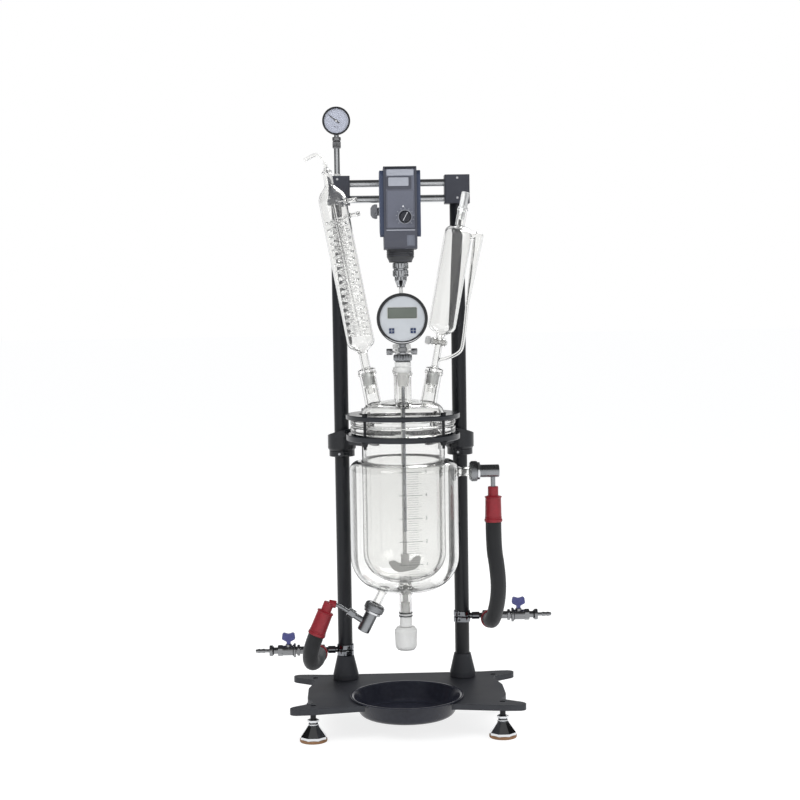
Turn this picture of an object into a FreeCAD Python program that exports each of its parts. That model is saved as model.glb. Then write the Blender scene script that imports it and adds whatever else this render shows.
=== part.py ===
import FreeCAD, Part
import math
import os
import Sketcher
from FreeCAD import Placement, Rotation, Vector

# Jacketed glass reactor on a twin-post stand, in millimetres.
# X points right, Y to the back and Z up; the origin is on the floor, under the middle of the stand.

# Driving dimensions. A radius, wall or length that can be changed by itself has its own line.
SIZES = {
    # General fits: fixed seats, running seats and soft contact between separate moving pieces
    "seat_gap": 0.05,
    "running_gap": 0.08,
    "face_gap": 0.3,
    # Stand
    "plate_underside": 63.0,
    "plate_thickness": 12.0,
    "plate_back": 166.0,
    "plate_lobe_reach": 258.0,
    "plate_front_reach": 141.0,
    "plate_notch": 195.0,
    "plate_bulge": 211.0,
    "lobe_rounding": 14.0,
    "post_radius": 16.0,
    "post_wall": 3.0,
    "post_spacing": 260.0,
    "post_back": 122.0,
    "post_length": 1101.0,
    "socket_radius": 28.0,
    "socket_skirt": 12.0,
    "socket_height": 53.0,
    "socket_top_wall": 2.4,
    # Levelling feet
    "foot_spacing": 396.0,
    "foot_front": 105.0,
    "foot_back": 132.0,
    "foot_pad_radius": 29.0,
    "foot_pad_height": 6.0,
    "foot_cup_radius": 27.0,
    "foot_cup_height": 28.0,
    "foot_neck_radius": 11.0,
    "foot_hex_radius": 12.5,
    "foot_hex_height": 10.0,
    "foot_stud_radius": 6.0,
    # Drip pan
    "pan_rim_radius": 120.0,
    "pan_wall_radius": 114.5,
    "pan_floor_radius": 99.0,
    "pan_depth": 38.0,
    "pan_wall": 1.5,
    "pan_rim_height": 4.0,
    "pan_floor_rounding": 16.0,
    # Head blocks and cross rods
    "block_width": 54.0,
    "block_depth": 48.0,
    "block_height": 62.0,
    "block_cover": 8.0,
    "rod_radius": 8.0,
    "rod_drop": 16.0,
    "rod_spacing": 34.0,
    "rod_socket": 9.5,
    # Support clamps that carry the vessel
    "clamp_radius": 31.0,
    "clamp_height": 48.0,
    "clamp_above_arm": 10.0,
    "clamp_arm_width": 22.0,
    "clamp_arm_height": 24.0,
    "clamp_arm_reach": 112.0,
    "clamp_arm_turn": 41.0,
    "collar_radius": 28.0,
    "collar_height": 13.0,
    # Vessel
    "vessel_front": 46.0,
    "vessel_top": 652.0,
    "vessel_radius": 87.0,
    "vessel_wall": 5.0,
    "vessel_depth": 326.0,
    "seam_depth": 262.0,
    "vessel_bottom_rounding": 58.0,
    "flange_radius": 110.0,
    "flange_thickness": 16.0,
    "jacket_radius": 114.0,
    "jacket_wall": 4.0,
    "jacket_drop": 73.0,
    "jacket_depth": 352.0,
    "jacket_shoulder_rounding": 20.0,
    "jacket_bottom_rounding": 74.0,
    "dish_rise": 12.0,
    "drain_radius": 14.0,
    "drain_bore": 9.5,
    "drain_length": 44.0,
    "seat_radius": 7.0,
    "seat_height": 7.0,
    "port_radius": 9.5,
    "port_bore": 6.0,
    "port_rim_radius": 13.0,
    "port_rim": 5.0,
    "outlet_drop": 99.0,
    "outlet_reach": 156.5,
    "inlet_offset": 45.0,
    "inlet_tilt": 27.0,
    "inlet_drop": 344.0,
    "inlet_length": 55.0,
    # Lid
    "gasket_thickness": 2.0,
    "lid_flange_thickness": 14.0,
    "lid_wall_height": 36.0,
    "lid_dome_height": 56.0,
    "lid_dome_rounding": 26.0,
    "neck_radius": 17.0,
    "neck_bore": 13.0,
    "neck_rim_radius": 19.5,
    "neck_rim": 5.0,
    "neck_top": 766.0,
    "front_neck_offset": 55.0,
    "back_neck_offset": 55.0,
    "condenser_offset": 62.5,
    "condenser_tilt": 10.4,
    "funnel_offset": 55.5,
    "funnel_tilt": 10.8,
    "tilted_neck_base": 705.0,
    "tilted_neck_length": 61.0,
    # Flange rings and bolts
    "ring_radius": 119.5,
    "ring_bore": 91.5,
    "lower_ring_thickness": 12.0,
    "upper_ring_thickness": 10.0,
    "bolt_circle": 114.0,
    "bolt_radius": 3.0,
    "bolt_tail": 14.0,
    "bolt_head_radius": 5.5,
    "bolt_head_height": 6.0,
    "bolt_nut_radius": 8.0,
    "bolt_nut_height": 8.0,
    # Drain valve
    "drain_body_radius": 13.0,
    "drain_body_length": 28.0,
    "drain_ring_height": 2.4,
    "drain_ring_radius": 14.6,
    "plunger_radius": 6.0,
    "plunger_tip_gap": 0.3,
    "drain_knob_radius": 24.0,
    "drain_knob_height": 49.0,
    "drain_knob_shoulder": 6.0,
    # Water line
    "nut_radius": 21.5,
    "nut_length": 22.0,
    "elbow_radius": 13.5,
    "outlet_elbow_length": 44.5,
    "spigot_radius": 5.0,
    "spigot_offset": 31.4,
    "spigot_length": 36.0,
    "boot_cap_radius": 11.0,
    "boot_cap_length": 21.0,
    "boot_radius": 16.5,
    "boot_length": 54.0,
    "cuff_radius": 19.0,
    "cuff_length": 6.0,
    "hose_radius": 17.0,
    "inlet_elbow_length": 46.5,
    "bend_tube_radius": 4.2,
    "bend_nut_radius": 9.5,
    "line_collar_radius": 18.6,
    "line_collar_height": 25.0,
    "line_arm_radius": 8.2,
    "line_right_height": 211.0,
    "line_left_height": 141.0,
    "tee_offset": 189.0,
    "tee_radius": 11.5,
    "valve_start": 231.0,
    "valve_radius": 11.0,
    "valve_flange_radius": 15.5,
    "valve_hex_radius": 12.5,
    "valve_nut_radius": 12.0,
    "barb_radius": 3.85,
    "barb_bore": 2.4,
    "barb_tip": 329.0,
    "handle_offset": 256.0,
    "handle_stem_radius": 4.0,
    "handle_rise": 22.0,
    "handle_height": 19.0,
    "handle_span": 30.0,
    "handle_thickness": 9.0,
    # Vacuum gauge
    "gauge_stem_radius": 6.3,
    "gauge_collar_height": 6.0,
    "gauge_stem_length": 56.0,
    "gauge_nut_radius": 9.0,
    "gauge_nut_height": 15.0,
    "gauge_radius": 30.5,
    "gauge_depth": 24.0,
    "gauge_bezel": 4.0,
    "gauge_centre": 1303.6,
    "needle_length": 22.0,
    # Stirrer
    "stirrer_bottom": 1019.6,
    "stirrer_height": 169.4,
    "stirrer_width": 68.0,
    "stirrer_front": 98.0,
    "stirrer_depth": 110.0,
    "cover_thickness": 8.0,
    "cover_height": 138.0,
    "cover_depth": 84.0,
    "panel_width": 58.0,
    "panel_height": 121.0,
    "panel_thickness": 3.0,
    "panel_bottom": 1061.6,
    "nose_radius": 28.0,
    "nose_height": 26.6,
    "nose_lower_radius": 23.0,
    "speed_knob_radius": 13.0,
    "speed_knob_height": 14.0,
    "speed_knob_offset": 9.0,
    "speed_knob_height_above": 65.4,
    "chuck_radius": 17.0,
    "chuck_sleeve": 29.5,
    "jaw_radius": 13.0,
    "jaw_tip_radius": 8.5,
    "jaw_length": 20.5,
    "spindle_radius": 7.0,
    "spindle_length": 16.0,
    "shaft_radius": 4.25,
    "shaft_bottom": 381.0,
    "hub_radius": 8.8,
    "hub_height": 29.0,
    "hub_slot_depth": 24.0,
    "paddle_span": 69.0,
    "paddle_height": 30.0,
    "paddle_thickness": 5.0,
    "paddle_pin_radius": 2.0,
    "paddle_pin_height": 12.0,
    "paddle_tilt": 10.0,
    "carrier_width": 56.0,
    "carrier_depth": 40.0,
    "carrier_bottom": 1090.0,
    "carrier_top": 1182.0,
    "support_rod_radius": 8.0,
    "support_rod_height": 1107.0,
    "carrier_knob_radius": 16.0,
    "carrier_knob_height": 15.0,
    "carrier_screw_radius": 4.0,
    "carrier_screw_length": 18.0,
    # Stirring seal
    "seal_flange_radius": 19.0,
    "seal_body_radius": 14.0,
    "seal_body_height": 46.0,
    "seal_cap_radius": 19.0,
    "seal_cap_height": 10.0,
    "seal_screw_reach": 26.0,
    "seal_screw_radius": 6.0,
    # Thermometer
    "thermometer_centre": 877.0,
    "thermometer_front": 114.0,
    "case_radius": 52.5,
    "case_depth": 26.0,
    "bezel_width": 6.0,
    "face_recess": 3.0,
    "button_side": 10.4,
    "button_spacing": 44.0,
    "button_drop": 24.6,
    "button_rise": 1.6,
    "button_depth": 3.0,
    "button_travel": 1.0,
    "probe_radius": 3.5,
    "probe_bottom": 436.0,
    "probe_nut_radius": 9.0,
    "star_nut_radius": 19.0,
    "star_nut_height": 16.0,
    "adapter_rim_radius": 17.0,
    "adapter_body_radius": 14.0,
    "adapter_height": 22.0,
    # Condenser
    "condenser_radius": 29.0,
    "condenser_wall": 2.5,
    "condenser_start": 116.0,
    "condenser_end": 410.0,
    "condenser_neck_radius": 9.5,
    "condenser_neck_end": 481.0,
    "condenser_tube_radius": 9.5,
    "coil_radius": 20.5,
    "coil_tube_radius": 3.2,
    "coil_pitch": 14.7,
    "nipple_radius": 4.6,
    "nipple_upper": 418.0,
    "nipple_lower": 388.0,
    "nipple_reach": 51.0,
    "outlet_tube_radius": 4.0,
    "inner_tube_radius": 6.0,
    # Dropping funnel
    "funnel_radius": 29.0,
    "funnel_wall": 2.5,
    "funnel_start": 148.0,
    "funnel_end": 365.0,
    "funnel_neck_radius": 10.0,
    "funnel_neck_end": 404.0,
    "funnel_tube_radius": 8.0,
    "cock_height": 123.0,
    "cock_radius": 9.0,
    "cock_length": 26.0,
    "key_radius": 5.5,
    "key_handle_length": 14.0,
    "arm_top_radius": 10.5,
    "arm_radius": 3.6,
    "stopper_radius": 10.5,
    "stopper_head_radius": 8.4,
    "stopper_height": 36.0,
    "stopper_plug": 22.0,
}


class Size:
    """A length: its number, and the sheet expression that gives it."""

    def __init__(self, number, text):
        self.number = float(number)
        self.text = text

    def __add__(self, other):
        other = as_size(other)
        return Size(self.number + other.number, f"({self.text} + {other.text})")

    def __sub__(self, other):
        other = as_size(other)
        return Size(self.number - other.number, f"({self.text} - {other.text})")

    def __mul__(self, factor):
        return Size(self.number * factor, f"({self.text} * {factor})")

    def __truediv__(self, divisor):
        return Size(self.number / divisor, f"({self.text} / {divisor})")

    def __neg__(self):
        return Size(-self.number, f"(0 - {self.text})")

    def __radd__(self, other):
        return as_size(other) + self

    def __rsub__(self, other):
        return as_size(other) - self


def as_size(value):
    """A Size stays as it is, and a plain number becomes one."""
    return value if isinstance(value, Size) else Size(value, str(float(value)))


doc = FreeCAD.newDocument("GlassReactor")
sheet = doc.addObject("Spreadsheet::Sheet", "Sizes")
for row, (name, number) in enumerate(SIZES.items(), start=1):
    sheet.set(f"B{row}", str(number))
    sheet.setAlias(f"B{row}", name)
doc.recompute()


class Sheet:
    """The sheet's cells by name, each as a Size."""

    def __getattr__(self, name):
        return Size(sheet.get(name), f"Sizes.{name}")


s = Sheet()
pieces = {}


def keep(label, piece):
    """Name a finished sub-part and put it on the list of pieces to write."""
    piece.Label = label
    pieces[label] = piece
    return piece


def bind(piece, **lengths):
    """Tie properties of a piece to the sheet."""
    for name, length in lengths.items():
        piece.setExpression(name, as_size(length).text)


def place(piece, x=0, y=0, z=0, axis=Vector(0, 0, 1), angle=0):
    """Put a piece at a point, turned about an axis, with both tied to the sheet."""
    x, y, z, angle = as_size(x), as_size(y), as_size(z), as_size(angle)
    point = Vector(x.number, y.number, z.number)
    piece.Placement = Placement(point, Rotation(axis, angle.number))
    for name, length in (("x", x), ("y", y), ("z", z)):
        piece.setExpression(f"Placement.Base.{name}", length.text)
    return piece


def origin_plane(body, role):
    """The body's own origin plane of that role."""
    return next(feature for feature in body.Origin.OriginFeatures if feature.Role == role)


def fix_point(sketch, geometry, end, x, y):
    """Hold a point of the sketch at sheet lengths from the sketch's axes."""
    for kind, axis, value in (("DistanceX", -2, x), ("DistanceY", -1, y)):
        value = as_size(value)
        if abs(value.number) < 1e-9:
            sketch.addConstraint(Sketcher.Constraint("PointOnObject", geometry, end, axis))
        else:
            index = sketch.addConstraint(Sketcher.Constraint(kind, geometry, end, value.number))
            sketch.setExpression(f"Constraints[{index}]", value.text)


def draw_outline(sketch, corners):
    """A closed outline of straight sides. A corner is (x, y) or (x, y, rounding radius)."""
    spots = []
    for corner in corners:
        x, y = as_size(corner[0]), as_size(corner[1])
        rounding = as_size(corner[2]) if len(corner) > 2 else as_size(0)
        spots.append((x, y, rounding, Vector(x.number, y.number, 0)))
    count = len(spots)
    starts = []
    ends = []
    centres = []
    for k, (x, y, rounding, point) in enumerate(spots):
        before = (spots[k - 1][3] - point).normalize()
        after = (spots[(k + 1) % count][3] - point).normalize()
        half = before.getAngle(after) / 2
        reach = rounding.number / math.tan(half)
        ends.append(point + before * reach)
        starts.append(point + after * reach)
        middle = before + after
        if rounding.number:
            centres.append(point + middle.normalize() * (rounding.number / math.sin(half)))
        else:
            centres.append(None)
    lines = []
    for k in range(count):
        side_length = (spots[(k + 1) % count][3] - spots[k][3]).Length
        taken = (starts[k] - spots[k][3]).Length + (ends[(k + 1) % count] - spots[(k + 1) % count][3]).Length
        if taken > side_length - 0.02:
            raise ValueError(f"{sketch.Name}: the roundings take {taken:.2f} of side {k}, {side_length:.2f}")
        side = Part.LineSegment(starts[k], ends[(k + 1) % count])
        lines.append(sketch.addGeometry(side, False))
    for k, (x, y, rounding, point) in enumerate(spots):
        line_in, line_out = lines[k - 1], lines[k]
        if centres[k] is None:
            sketch.addConstraint(Sketcher.Constraint("Coincident", line_in, 2, line_out, 1))
            fix_point(sketch, line_out, 1, x, y)
            continue
        angle_in = math.atan2(ends[k].y - centres[k].y, ends[k].x - centres[k].x)
        angle_out = math.atan2(starts[k].y - centres[k].y, starts[k].x - centres[k].x)
        forward = (angle_out - angle_in) % (2 * math.pi) < math.pi
        first, last = (angle_in, angle_out) if forward else (angle_out, angle_in)
        circle = Part.Circle(centres[k], Vector(0, 0, 1), rounding.number)
        arc = sketch.addGeometry(Part.ArcOfCircle(circle, first, last), False)
        corner = sketch.addGeometry(Part.Point(point), True)
        fix_point(sketch, corner, 1, x, y)
        sketch.addConstraint(Sketcher.Constraint("PointOnObject", corner, 1, line_in))
        sketch.addConstraint(Sketcher.Constraint("PointOnObject", corner, 1, line_out))
        side_in, side_out = (1, 2) if forward else (2, 1)
        sketch.addConstraint(Sketcher.Constraint("Tangent", line_in, 2, arc, side_in))
        sketch.addConstraint(Sketcher.Constraint("Tangent", arc, side_out, line_out, 1))
        index = sketch.addConstraint(Sketcher.Constraint("Radius", arc, rounding.number))
        sketch.setExpression(f"Constraints[{index}]", rounding.text)


def draw_circle(sketch, x, y, radius):
    """A circle held at sheet lengths."""
    x, y, radius = as_size(x), as_size(y), as_size(radius)
    circle = Part.Circle(Vector(x.number, y.number, 0), Vector(0, 0, 1), radius.number)
    geometry = sketch.addGeometry(circle, False)
    fix_point(sketch, geometry, 3, x, y)
    index = sketch.addConstraint(Sketcher.Constraint("Radius", geometry, radius.number))
    sketch.setExpression(f"Constraints[{index}]", radius.text)


def sketch_in(body, role):
    """A new sketch on one of the body's own origin planes."""
    sketch = body.newObject("Sketcher::SketchObject", body.Name + "_sketch")
    sketch.AttachmentSupport = [(origin_plane(body, role), "")]
    sketch.MapMode = "FlatFace"
    return sketch


def turned(name, *outlines):
    """A body turned about its Z axis from outlines of (radius, height) corners."""
    body = doc.addObject("PartDesign::Body", name)
    sketch = sketch_in(body, "XZ_Plane")
    for outline in outlines:
        draw_outline(sketch, outline)
    turning = body.newObject("PartDesign::Revolution", name + "_turning")
    turning.Profile = sketch
    turning.ReferenceAxis = (sketch, ["V_Axis"])
    turning.Angle = 360
    return body


def padded(name, outline, height, holes=()):
    """A body raised along its Z axis from an outline, with round holes of (x, y, radius)."""
    body = doc.addObject("PartDesign::Body", name)
    sketch = sketch_in(body, "XY_Plane")
    draw_outline(sketch, outline)
    for hole in holes:
        draw_circle(sketch, *hole)
    pad = body.newObject("PartDesign::Pad", name + "_pad")
    pad.Profile = sketch
    bind(pad, Length=height)
    return body


def cylinder(name, radius, height):
    """A round bar or bore along Z."""
    bar = doc.addObject("Part::Cylinder", name)
    bind(bar, Radius=radius, Height=height)
    return bar


def fused(name, *parts):
    """Several solids joined to one."""
    joined = doc.addObject("Part::MultiFuse", name)
    joined.Shapes = list(parts)
    joined.Refine = True
    return joined


def cut(name, base, *tools):
    """A solid less its tools."""
    tool = tools[0] if len(tools) == 1 else fused(name + "_tools", *tools)
    rest = doc.addObject("Part::Cut", name)
    rest.Base = base
    rest.Tool = tool
    rest.Refine = True
    return rest


def common(name, base, tool):
    """What two solids share."""
    shared = doc.addObject("Part::Common", name)
    shared.Base = base
    shared.Tool = tool
    shared.Refine = True
    return shared


def group(name, parts):
    """Like pieces kept as separate solids of one sub-part."""
    compound = doc.addObject("Part::Compound", name)
    compound.Links = list(parts)
    return compound


def rectangle(low_x, low_y, high_x, high_y, rounding=0):
    """The corners of a rectangle, rounded alike."""
    corners = ((low_x, low_y), (high_x, low_y), (high_x, high_y), (low_x, high_y))
    return [(x, y, rounding) for x, y in corners]


def hexagon(radius):
    """The corners of a regular hexagon of that corner radius."""
    turns = [math.radians(60 * k) for k in range(6)]
    return [(as_size(radius) * math.cos(turn), as_size(radius) * math.sin(turn)) for turn in turns]


def hex_nut(name, radius, height, bore=None):
    """A hexagonal nut with its corners chamfered at both ends."""
    holes = [(0, 0, bore)] if bore is not None else []
    prism = padded(name + "_prism", hexagon(radius), height, holes)
    bevel = as_size(radius) * 0.13
    slope = bevel * 0.6
    outline = [(0, 0), (radius - bevel, 0), (radius, slope), (radius, height - slope),
               (radius - bevel, height), (0, height)]
    return common(name, prism, turned(name + "_envelope", outline))


def numbers(*values):
    """The numbers of some sizes, as a vector."""
    return Vector(*[as_size(value).number for value in values])


def rounded_route(points, share=0.45, radii=None):
    """Straight runs joined by tangent arcs; returns the wire and the arc radii."""
    edges = []
    used = []
    start = points[0]
    for k in range(1, len(points) - 1):
        before = points[k - 1] - points[k]
        after = points[k + 1] - points[k]
        half = before.getAngle(after) / 2
        reach = share * min(before.Length, after.Length)
        radius = reach * math.tan(half)
        if radii:
            radius = radii[k - 1]
            reach = radius / math.tan(half)
        before.normalize()
        after.normalize()
        first = points[k] + before * reach
        last = points[k] + after * reach
        middle = (before + after).normalize()
        crown = points[k] + middle * (radius / math.sin(half) - radius)
        edges.append(Part.LineSegment(start, first).toShape())
        edges.append(Part.Arc(first, crown, last).toShape())
        used.append(radius)
        start = last
    edges.append(Part.LineSegment(start, points[-1]).toShape())
    return Part.Wire(edges), used


def swept(points, radius, share=0.45, radii=None):
    """A round bar along a rounded route."""
    wire, used = rounded_route(points, share, radii)
    ring = Part.Circle(points[0], points[1] - points[0], radius).toShape()
    return wire.makePipeShell([Part.Wire(ring)], True, False), wire, used


def shape_piece(name, shape):
    """A sub-part whose shape is made by functions, for bent tubes."""
    piece = doc.addObject("Part::Feature", name)
    piece.Shape = shape
    return piece


X_AXIS = Vector(1, 0, 0)
Y_AXIS = Vector(0, 1, 0)
Z_AXIS = Vector(0, 0, 1)
SIDES = (("left", -1), ("right", 1))

plate_top = s.plate_underside + s.plate_thickness
post_x = s.post_spacing / 2
post_top = plate_top + s.post_length
axis_y = -s.vessel_front

# Base plate: steel, with four lobes over the feet and a round recess for the drip pan
right_side = [
    (s.plate_notch - 20, s.plate_back - 5, 40),
    (s.plate_notch + 20, s.plate_back, 30),
    (s.plate_lobe_reach, s.plate_back, s.lobe_rounding),
    (s.plate_lobe_reach - 17, s.plate_back - 27, s.lobe_rounding),
    (s.plate_notch, s.foot_back - 25, 24),
    (s.plate_bulge, s.foot_back - 92, 60),
    (s.plate_bulge, 55 - s.foot_front, 45),
    (s.plate_notch, 23 - s.foot_front, 15),
    (s.plate_lobe_reach - 19, -s.plate_front_reach + 29, s.lobe_rounding),
    (s.plate_lobe_reach, -s.plate_front_reach, s.lobe_rounding),
    (s.plate_notch + 5, -s.plate_front_reach + 3, 40),
    (s.plate_notch / 2, -s.plate_front_reach + 22, 60),
]
left_side = [(-x, y, rounding) for x, y, rounding in reversed(right_side)]
foot_x = s.foot_spacing / 2
feet = [(f"{end}_{side}", foot_x * sign, y)
        for end, y in (("front", -s.foot_front), ("back", s.foot_back)) for side, sign in SIDES]
stud_hole = s.foot_stud_radius + s.running_gap
plate = padded("plate_sheet", right_side + left_side, s.plate_thickness,
               [(x, y, stud_hole) for label, x, y in feet])
place(plate, z=s.plate_underside)
recess = cylinder("pan_recess", s.pan_wall_radius + 1.5, s.plate_thickness + 2)
place(recess, y=axis_y, z=s.plate_underside - 1)
keep("base_plate", cut("base_plate", plate, recess))

# Posts and their sockets: black tubes that stand on the plate in turned steel cones
sockets = []
for side, sign in SIDES:
    tube = turned(f"{side}_post_tube", [
        (s.post_radius - s.post_wall, 0), (s.post_radius, 0),
        (s.post_radius, s.post_length), (s.post_radius - s.post_wall, s.post_length)])
    keep(f"{side}_post", place(tube, post_x * sign, s.post_back, plate_top))
    bore = s.post_radius + s.seat_gap
    socket = turned(f"{side}_socket", [
        (bore, 0), (s.socket_radius, 0, 2), (s.socket_radius, s.socket_skirt, 3),
        (bore + s.socket_top_wall, s.socket_height), (bore, s.socket_height)])
    sockets.append(place(socket, post_x * sign, s.post_back, plate_top))
keep("post_sockets", group("post_sockets", sockets))

# Levelling feet: chrome cup and hexagon on a threaded stud, with a soft pad under the cup
for label, x, y in feet:
    pad = turned(f"pad_{label}", [
        (0, 0), (s.foot_pad_radius, 0, 1), (s.foot_pad_radius, s.foot_pad_height, 2),
        (0, s.foot_pad_height)])
    cup_top = s.foot_pad_height + s.foot_cup_height
    stud_top = s.plate_underside + s.plate_thickness - 2
    cup = turned(f"cup_{label}", [
        (0, s.foot_pad_height), (s.foot_cup_radius + 1, s.foot_pad_height),
        (s.foot_cup_radius, s.foot_pad_height + 5, 1), (s.foot_neck_radius, cup_top),
        (s.foot_stud_radius, cup_top), (s.foot_stud_radius, stud_top, 0.8), (0, stud_top)])
    hexagon_part = hex_nut(f"foot_hex_{label}", s.foot_hex_radius, s.foot_hex_height)
    place(hexagon_part, z=cup_top)
    metal = fused(f"foot_metal_{label}", cup, hexagon_part)
    foot = group(f"foot_{label}", [metal, pad])
    keep(f"foot_{label}", place(foot, x, y, 0))

# Drip pan: enamelled steel dish whose rolled rim rests on the plate
pan_floor = -s.pan_depth
inner = s.pan_wall
pan = turned("pan_dish", [
    (0, pan_floor), (s.pan_floor_radius, pan_floor, s.pan_floor_rounding),
    (s.pan_wall_radius, 0), (s.pan_rim_radius, 0, 1.4), (s.pan_rim_radius, s.pan_rim_height, 1.4),
    (s.pan_wall_radius - inner, s.pan_rim_height, 1),
    (s.pan_floor_radius - inner, pan_floor + inner, s.pan_floor_rounding - inner),
    (0, pan_floor + inner)])
keep("drip_pan", place(pan, 0, axis_y, plate_top + s.face_gap))

# Head blocks: each closes a post and takes the ends of the two cross rods
block_top = post_top + s.block_cover
block_bottom = block_top - s.block_height
upper_rod_z = block_top - s.rod_drop
lower_rod_z = upper_rod_z - s.rod_spacing
block_inner_face = post_x - s.block_width / 2
rod_end = block_inner_face + s.rod_socket
for side, sign in SIDES:
    half_width, half_depth = s.block_width / 2, s.block_depth / 2
    block = padded(f"{side}_block", rectangle(-half_width, -half_depth, half_width, half_depth, 3),
                   s.block_height)
    place(block, post_x * sign, s.post_back, block_bottom)
    post_bore = cylinder(f"{side}_post_bore", s.post_radius + s.seat_gap, s.block_height - s.block_cover)
    place(post_bore, post_x * sign, s.post_back, block_bottom)
    rod_bores = []
    for level, z in (("upper", upper_rod_z), ("lower", lower_rod_z)):
        rod_bore = cylinder(f"{side}_{level}_rod_bore", s.rod_radius + s.seat_gap, rod_end * 2 + 1)
        rod_bores.append(place(rod_bore, -rod_end - 0.5, s.post_back, z, Y_AXIS, 90))
    keep(f"{side}_head_block", cut(f"{side}_head_block", block, post_bore, *rod_bores))
rods = []
for level, z in (("upper", upper_rod_z), ("lower", lower_rod_z)):
    rod = cylinder(f"{level}_rod", s.rod_radius, rod_end * 2)
    rods.append(place(rod, -rod_end, s.post_back, z, Y_AXIS, 90))
keep("cross_rods", group("cross_rods", rods))

# Support clamps: split collars on the posts with an arm under the lower flange ring
ring_bottom = s.vessel_top - s.flange_thickness - s.lower_ring_thickness
arm_bottom = ring_bottom - s.clamp_arm_height
clamp_top = ring_bottom + s.clamp_above_arm
clamp_bottom = clamp_top - s.clamp_height
support_clamps = []
set_collars = []
for side, sign in SIDES:
    ring = turned(f"{side}_clamp_ring", [
        (0, 0), (s.clamp_radius - 3, 0), (s.clamp_radius, 5), (s.clamp_radius, s.clamp_height, 2),
        (0, s.clamp_height)])
    place(ring, post_x * sign, s.post_back, clamp_bottom)
    arm_half = s.clamp_arm_width / 2
    arm = padded(f"{side}_clamp_arm", rectangle(-arm_half, -s.clamp_arm_reach, arm_half, 0, arm_half * 0.9),
                 s.clamp_arm_height)
    place(arm, post_x * sign, s.post_back, arm_bottom, Z_AXIS, s.clamp_arm_turn * -sign)
    body = fused(f"{side}_clamp_body", ring, arm)
    bore = cylinder(f"{side}_clamp_bore", s.post_radius + s.seat_gap, s.clamp_height + 2)
    place(bore, post_x * sign, s.post_back, clamp_bottom - 1)
    # The collar's upper edge falls towards the vessel, and a slot splits it at the front
    slope = doc.addObject("Part::Box", f"{side}_clamp_slope")
    bind(slope, Length=s.clamp_radius * 3, Width=s.clamp_radius * 3, Height=s.clamp_height)
    lean = Rotation(Vector(0, 1, 0), 14 * sign) * Rotation(Vector(1, 0, 0), -9)
    corner = lean.multVec(numbers(-s.clamp_radius * 1.5, -s.clamp_radius * 1.5, 0))
    slope.Placement = Placement(numbers(post_x * sign, s.post_back, clamp_top - 7) + corner, lean)
    slot = padded(f"{side}_clamp_slot", rectangle(-1.2, -s.clamp_radius - 2, 1.2, 0), s.clamp_height + 2)
    place(slot, post_x * sign, s.post_back, clamp_bottom - 1, Z_AXIS, 44 * -sign)
    support_clamps.append(cut(f"{side}_support_clamp", body, bore, slope, slot))
    collar = turned(f"{side}_set_collar", [
        (s.post_radius + s.seat_gap, 0), (s.collar_radius, 0, 1), (s.collar_radius, s.collar_height, 1),
        (s.post_radius + s.seat_gap, s.collar_height)])
    set_collars.append(place(collar, post_x * sign, s.post_back, clamp_bottom - s.collar_height))
keep("support_clamps", group("support_clamps", support_clamps))
keep("set_collars", group("set_collars", set_collars))

# Inner vessel: a straight borosilicate glass tube with a ground flange, fused to a dished bottom with a
# drain neck, all measured down from the flange
vessel_bore = s.vessel_radius - s.vessel_wall
flange_bottom = -s.flange_thickness
drain_end = -s.jacket_depth - s.drain_length
inner_floor = -s.vessel_depth
outer_floor = inner_floor - s.vessel_wall
seat_bottom = inner_floor - s.vessel_wall - s.seat_height
seam = -s.seam_depth
inner_glass = turned("inner_vessel", [
    (vessel_bore, 0), (s.flange_radius, 0, 2), (s.flange_radius, flange_bottom, 4),
    (s.vessel_radius, flange_bottom, 3), (s.vessel_radius, seam), (vessel_bore, seam)])
keep("inner_vessel", place(inner_glass, 0, axis_y, s.vessel_top))
bottom_glass = turned("vessel_bottom", [
    (vessel_bore, seam), (s.vessel_radius, seam),
    (s.vessel_radius, outer_floor + s.dish_rise, s.vessel_bottom_rounding + s.vessel_wall),
    (s.drain_radius, outer_floor, 4), (s.drain_radius, drain_end), (s.drain_bore, drain_end),
    (s.drain_bore, seat_bottom), (s.seat_radius, seat_bottom + 3), (s.seat_radius, inner_floor, 2),
    (vessel_bore, inner_floor + s.dish_rise, s.vessel_bottom_rounding)])
keep("vessel_bottom", place(bottom_glass, 0, axis_y, s.vessel_top))

# Vessel jacket: the outer glass bath, fused to the inner vessel at its shoulder and at the drain neck
jacket_bore = s.jacket_radius - s.jacket_wall
jacket_glass = turned("jacket_glass", [
    (s.vessel_radius, -s.jacket_drop), (s.jacket_radius, -s.jacket_drop, s.jacket_shoulder_rounding),
    (s.jacket_radius, -s.jacket_depth + s.dish_rise, s.jacket_bottom_rounding),
    (s.drain_radius, -s.jacket_depth), (s.drain_radius, -s.jacket_depth + s.jacket_wall),
    (jacket_bore, -s.jacket_depth + s.dish_rise + s.jacket_wall, s.jacket_bottom_rounding - s.jacket_wall),
    (jacket_bore, -s.jacket_drop - s.jacket_wall, s.jacket_shoulder_rounding - s.jacket_wall),
    (s.vessel_radius, -s.jacket_drop - s.jacket_wall)])
place(jacket_glass, 0, axis_y, s.vessel_top)


def port(name, length):
    """A jacket port: a tube with a rim at its end, along Z from the jacket wall."""
    return turned(name, [
        (0, 0), (s.port_radius + 3, 0), (s.port_radius, 10, 4), (s.port_radius, length - s.port_rim - 3, 2),
        (s.port_rim_radius, length - s.port_rim, 1), (s.port_rim_radius, length, 1), (0, length)])


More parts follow.
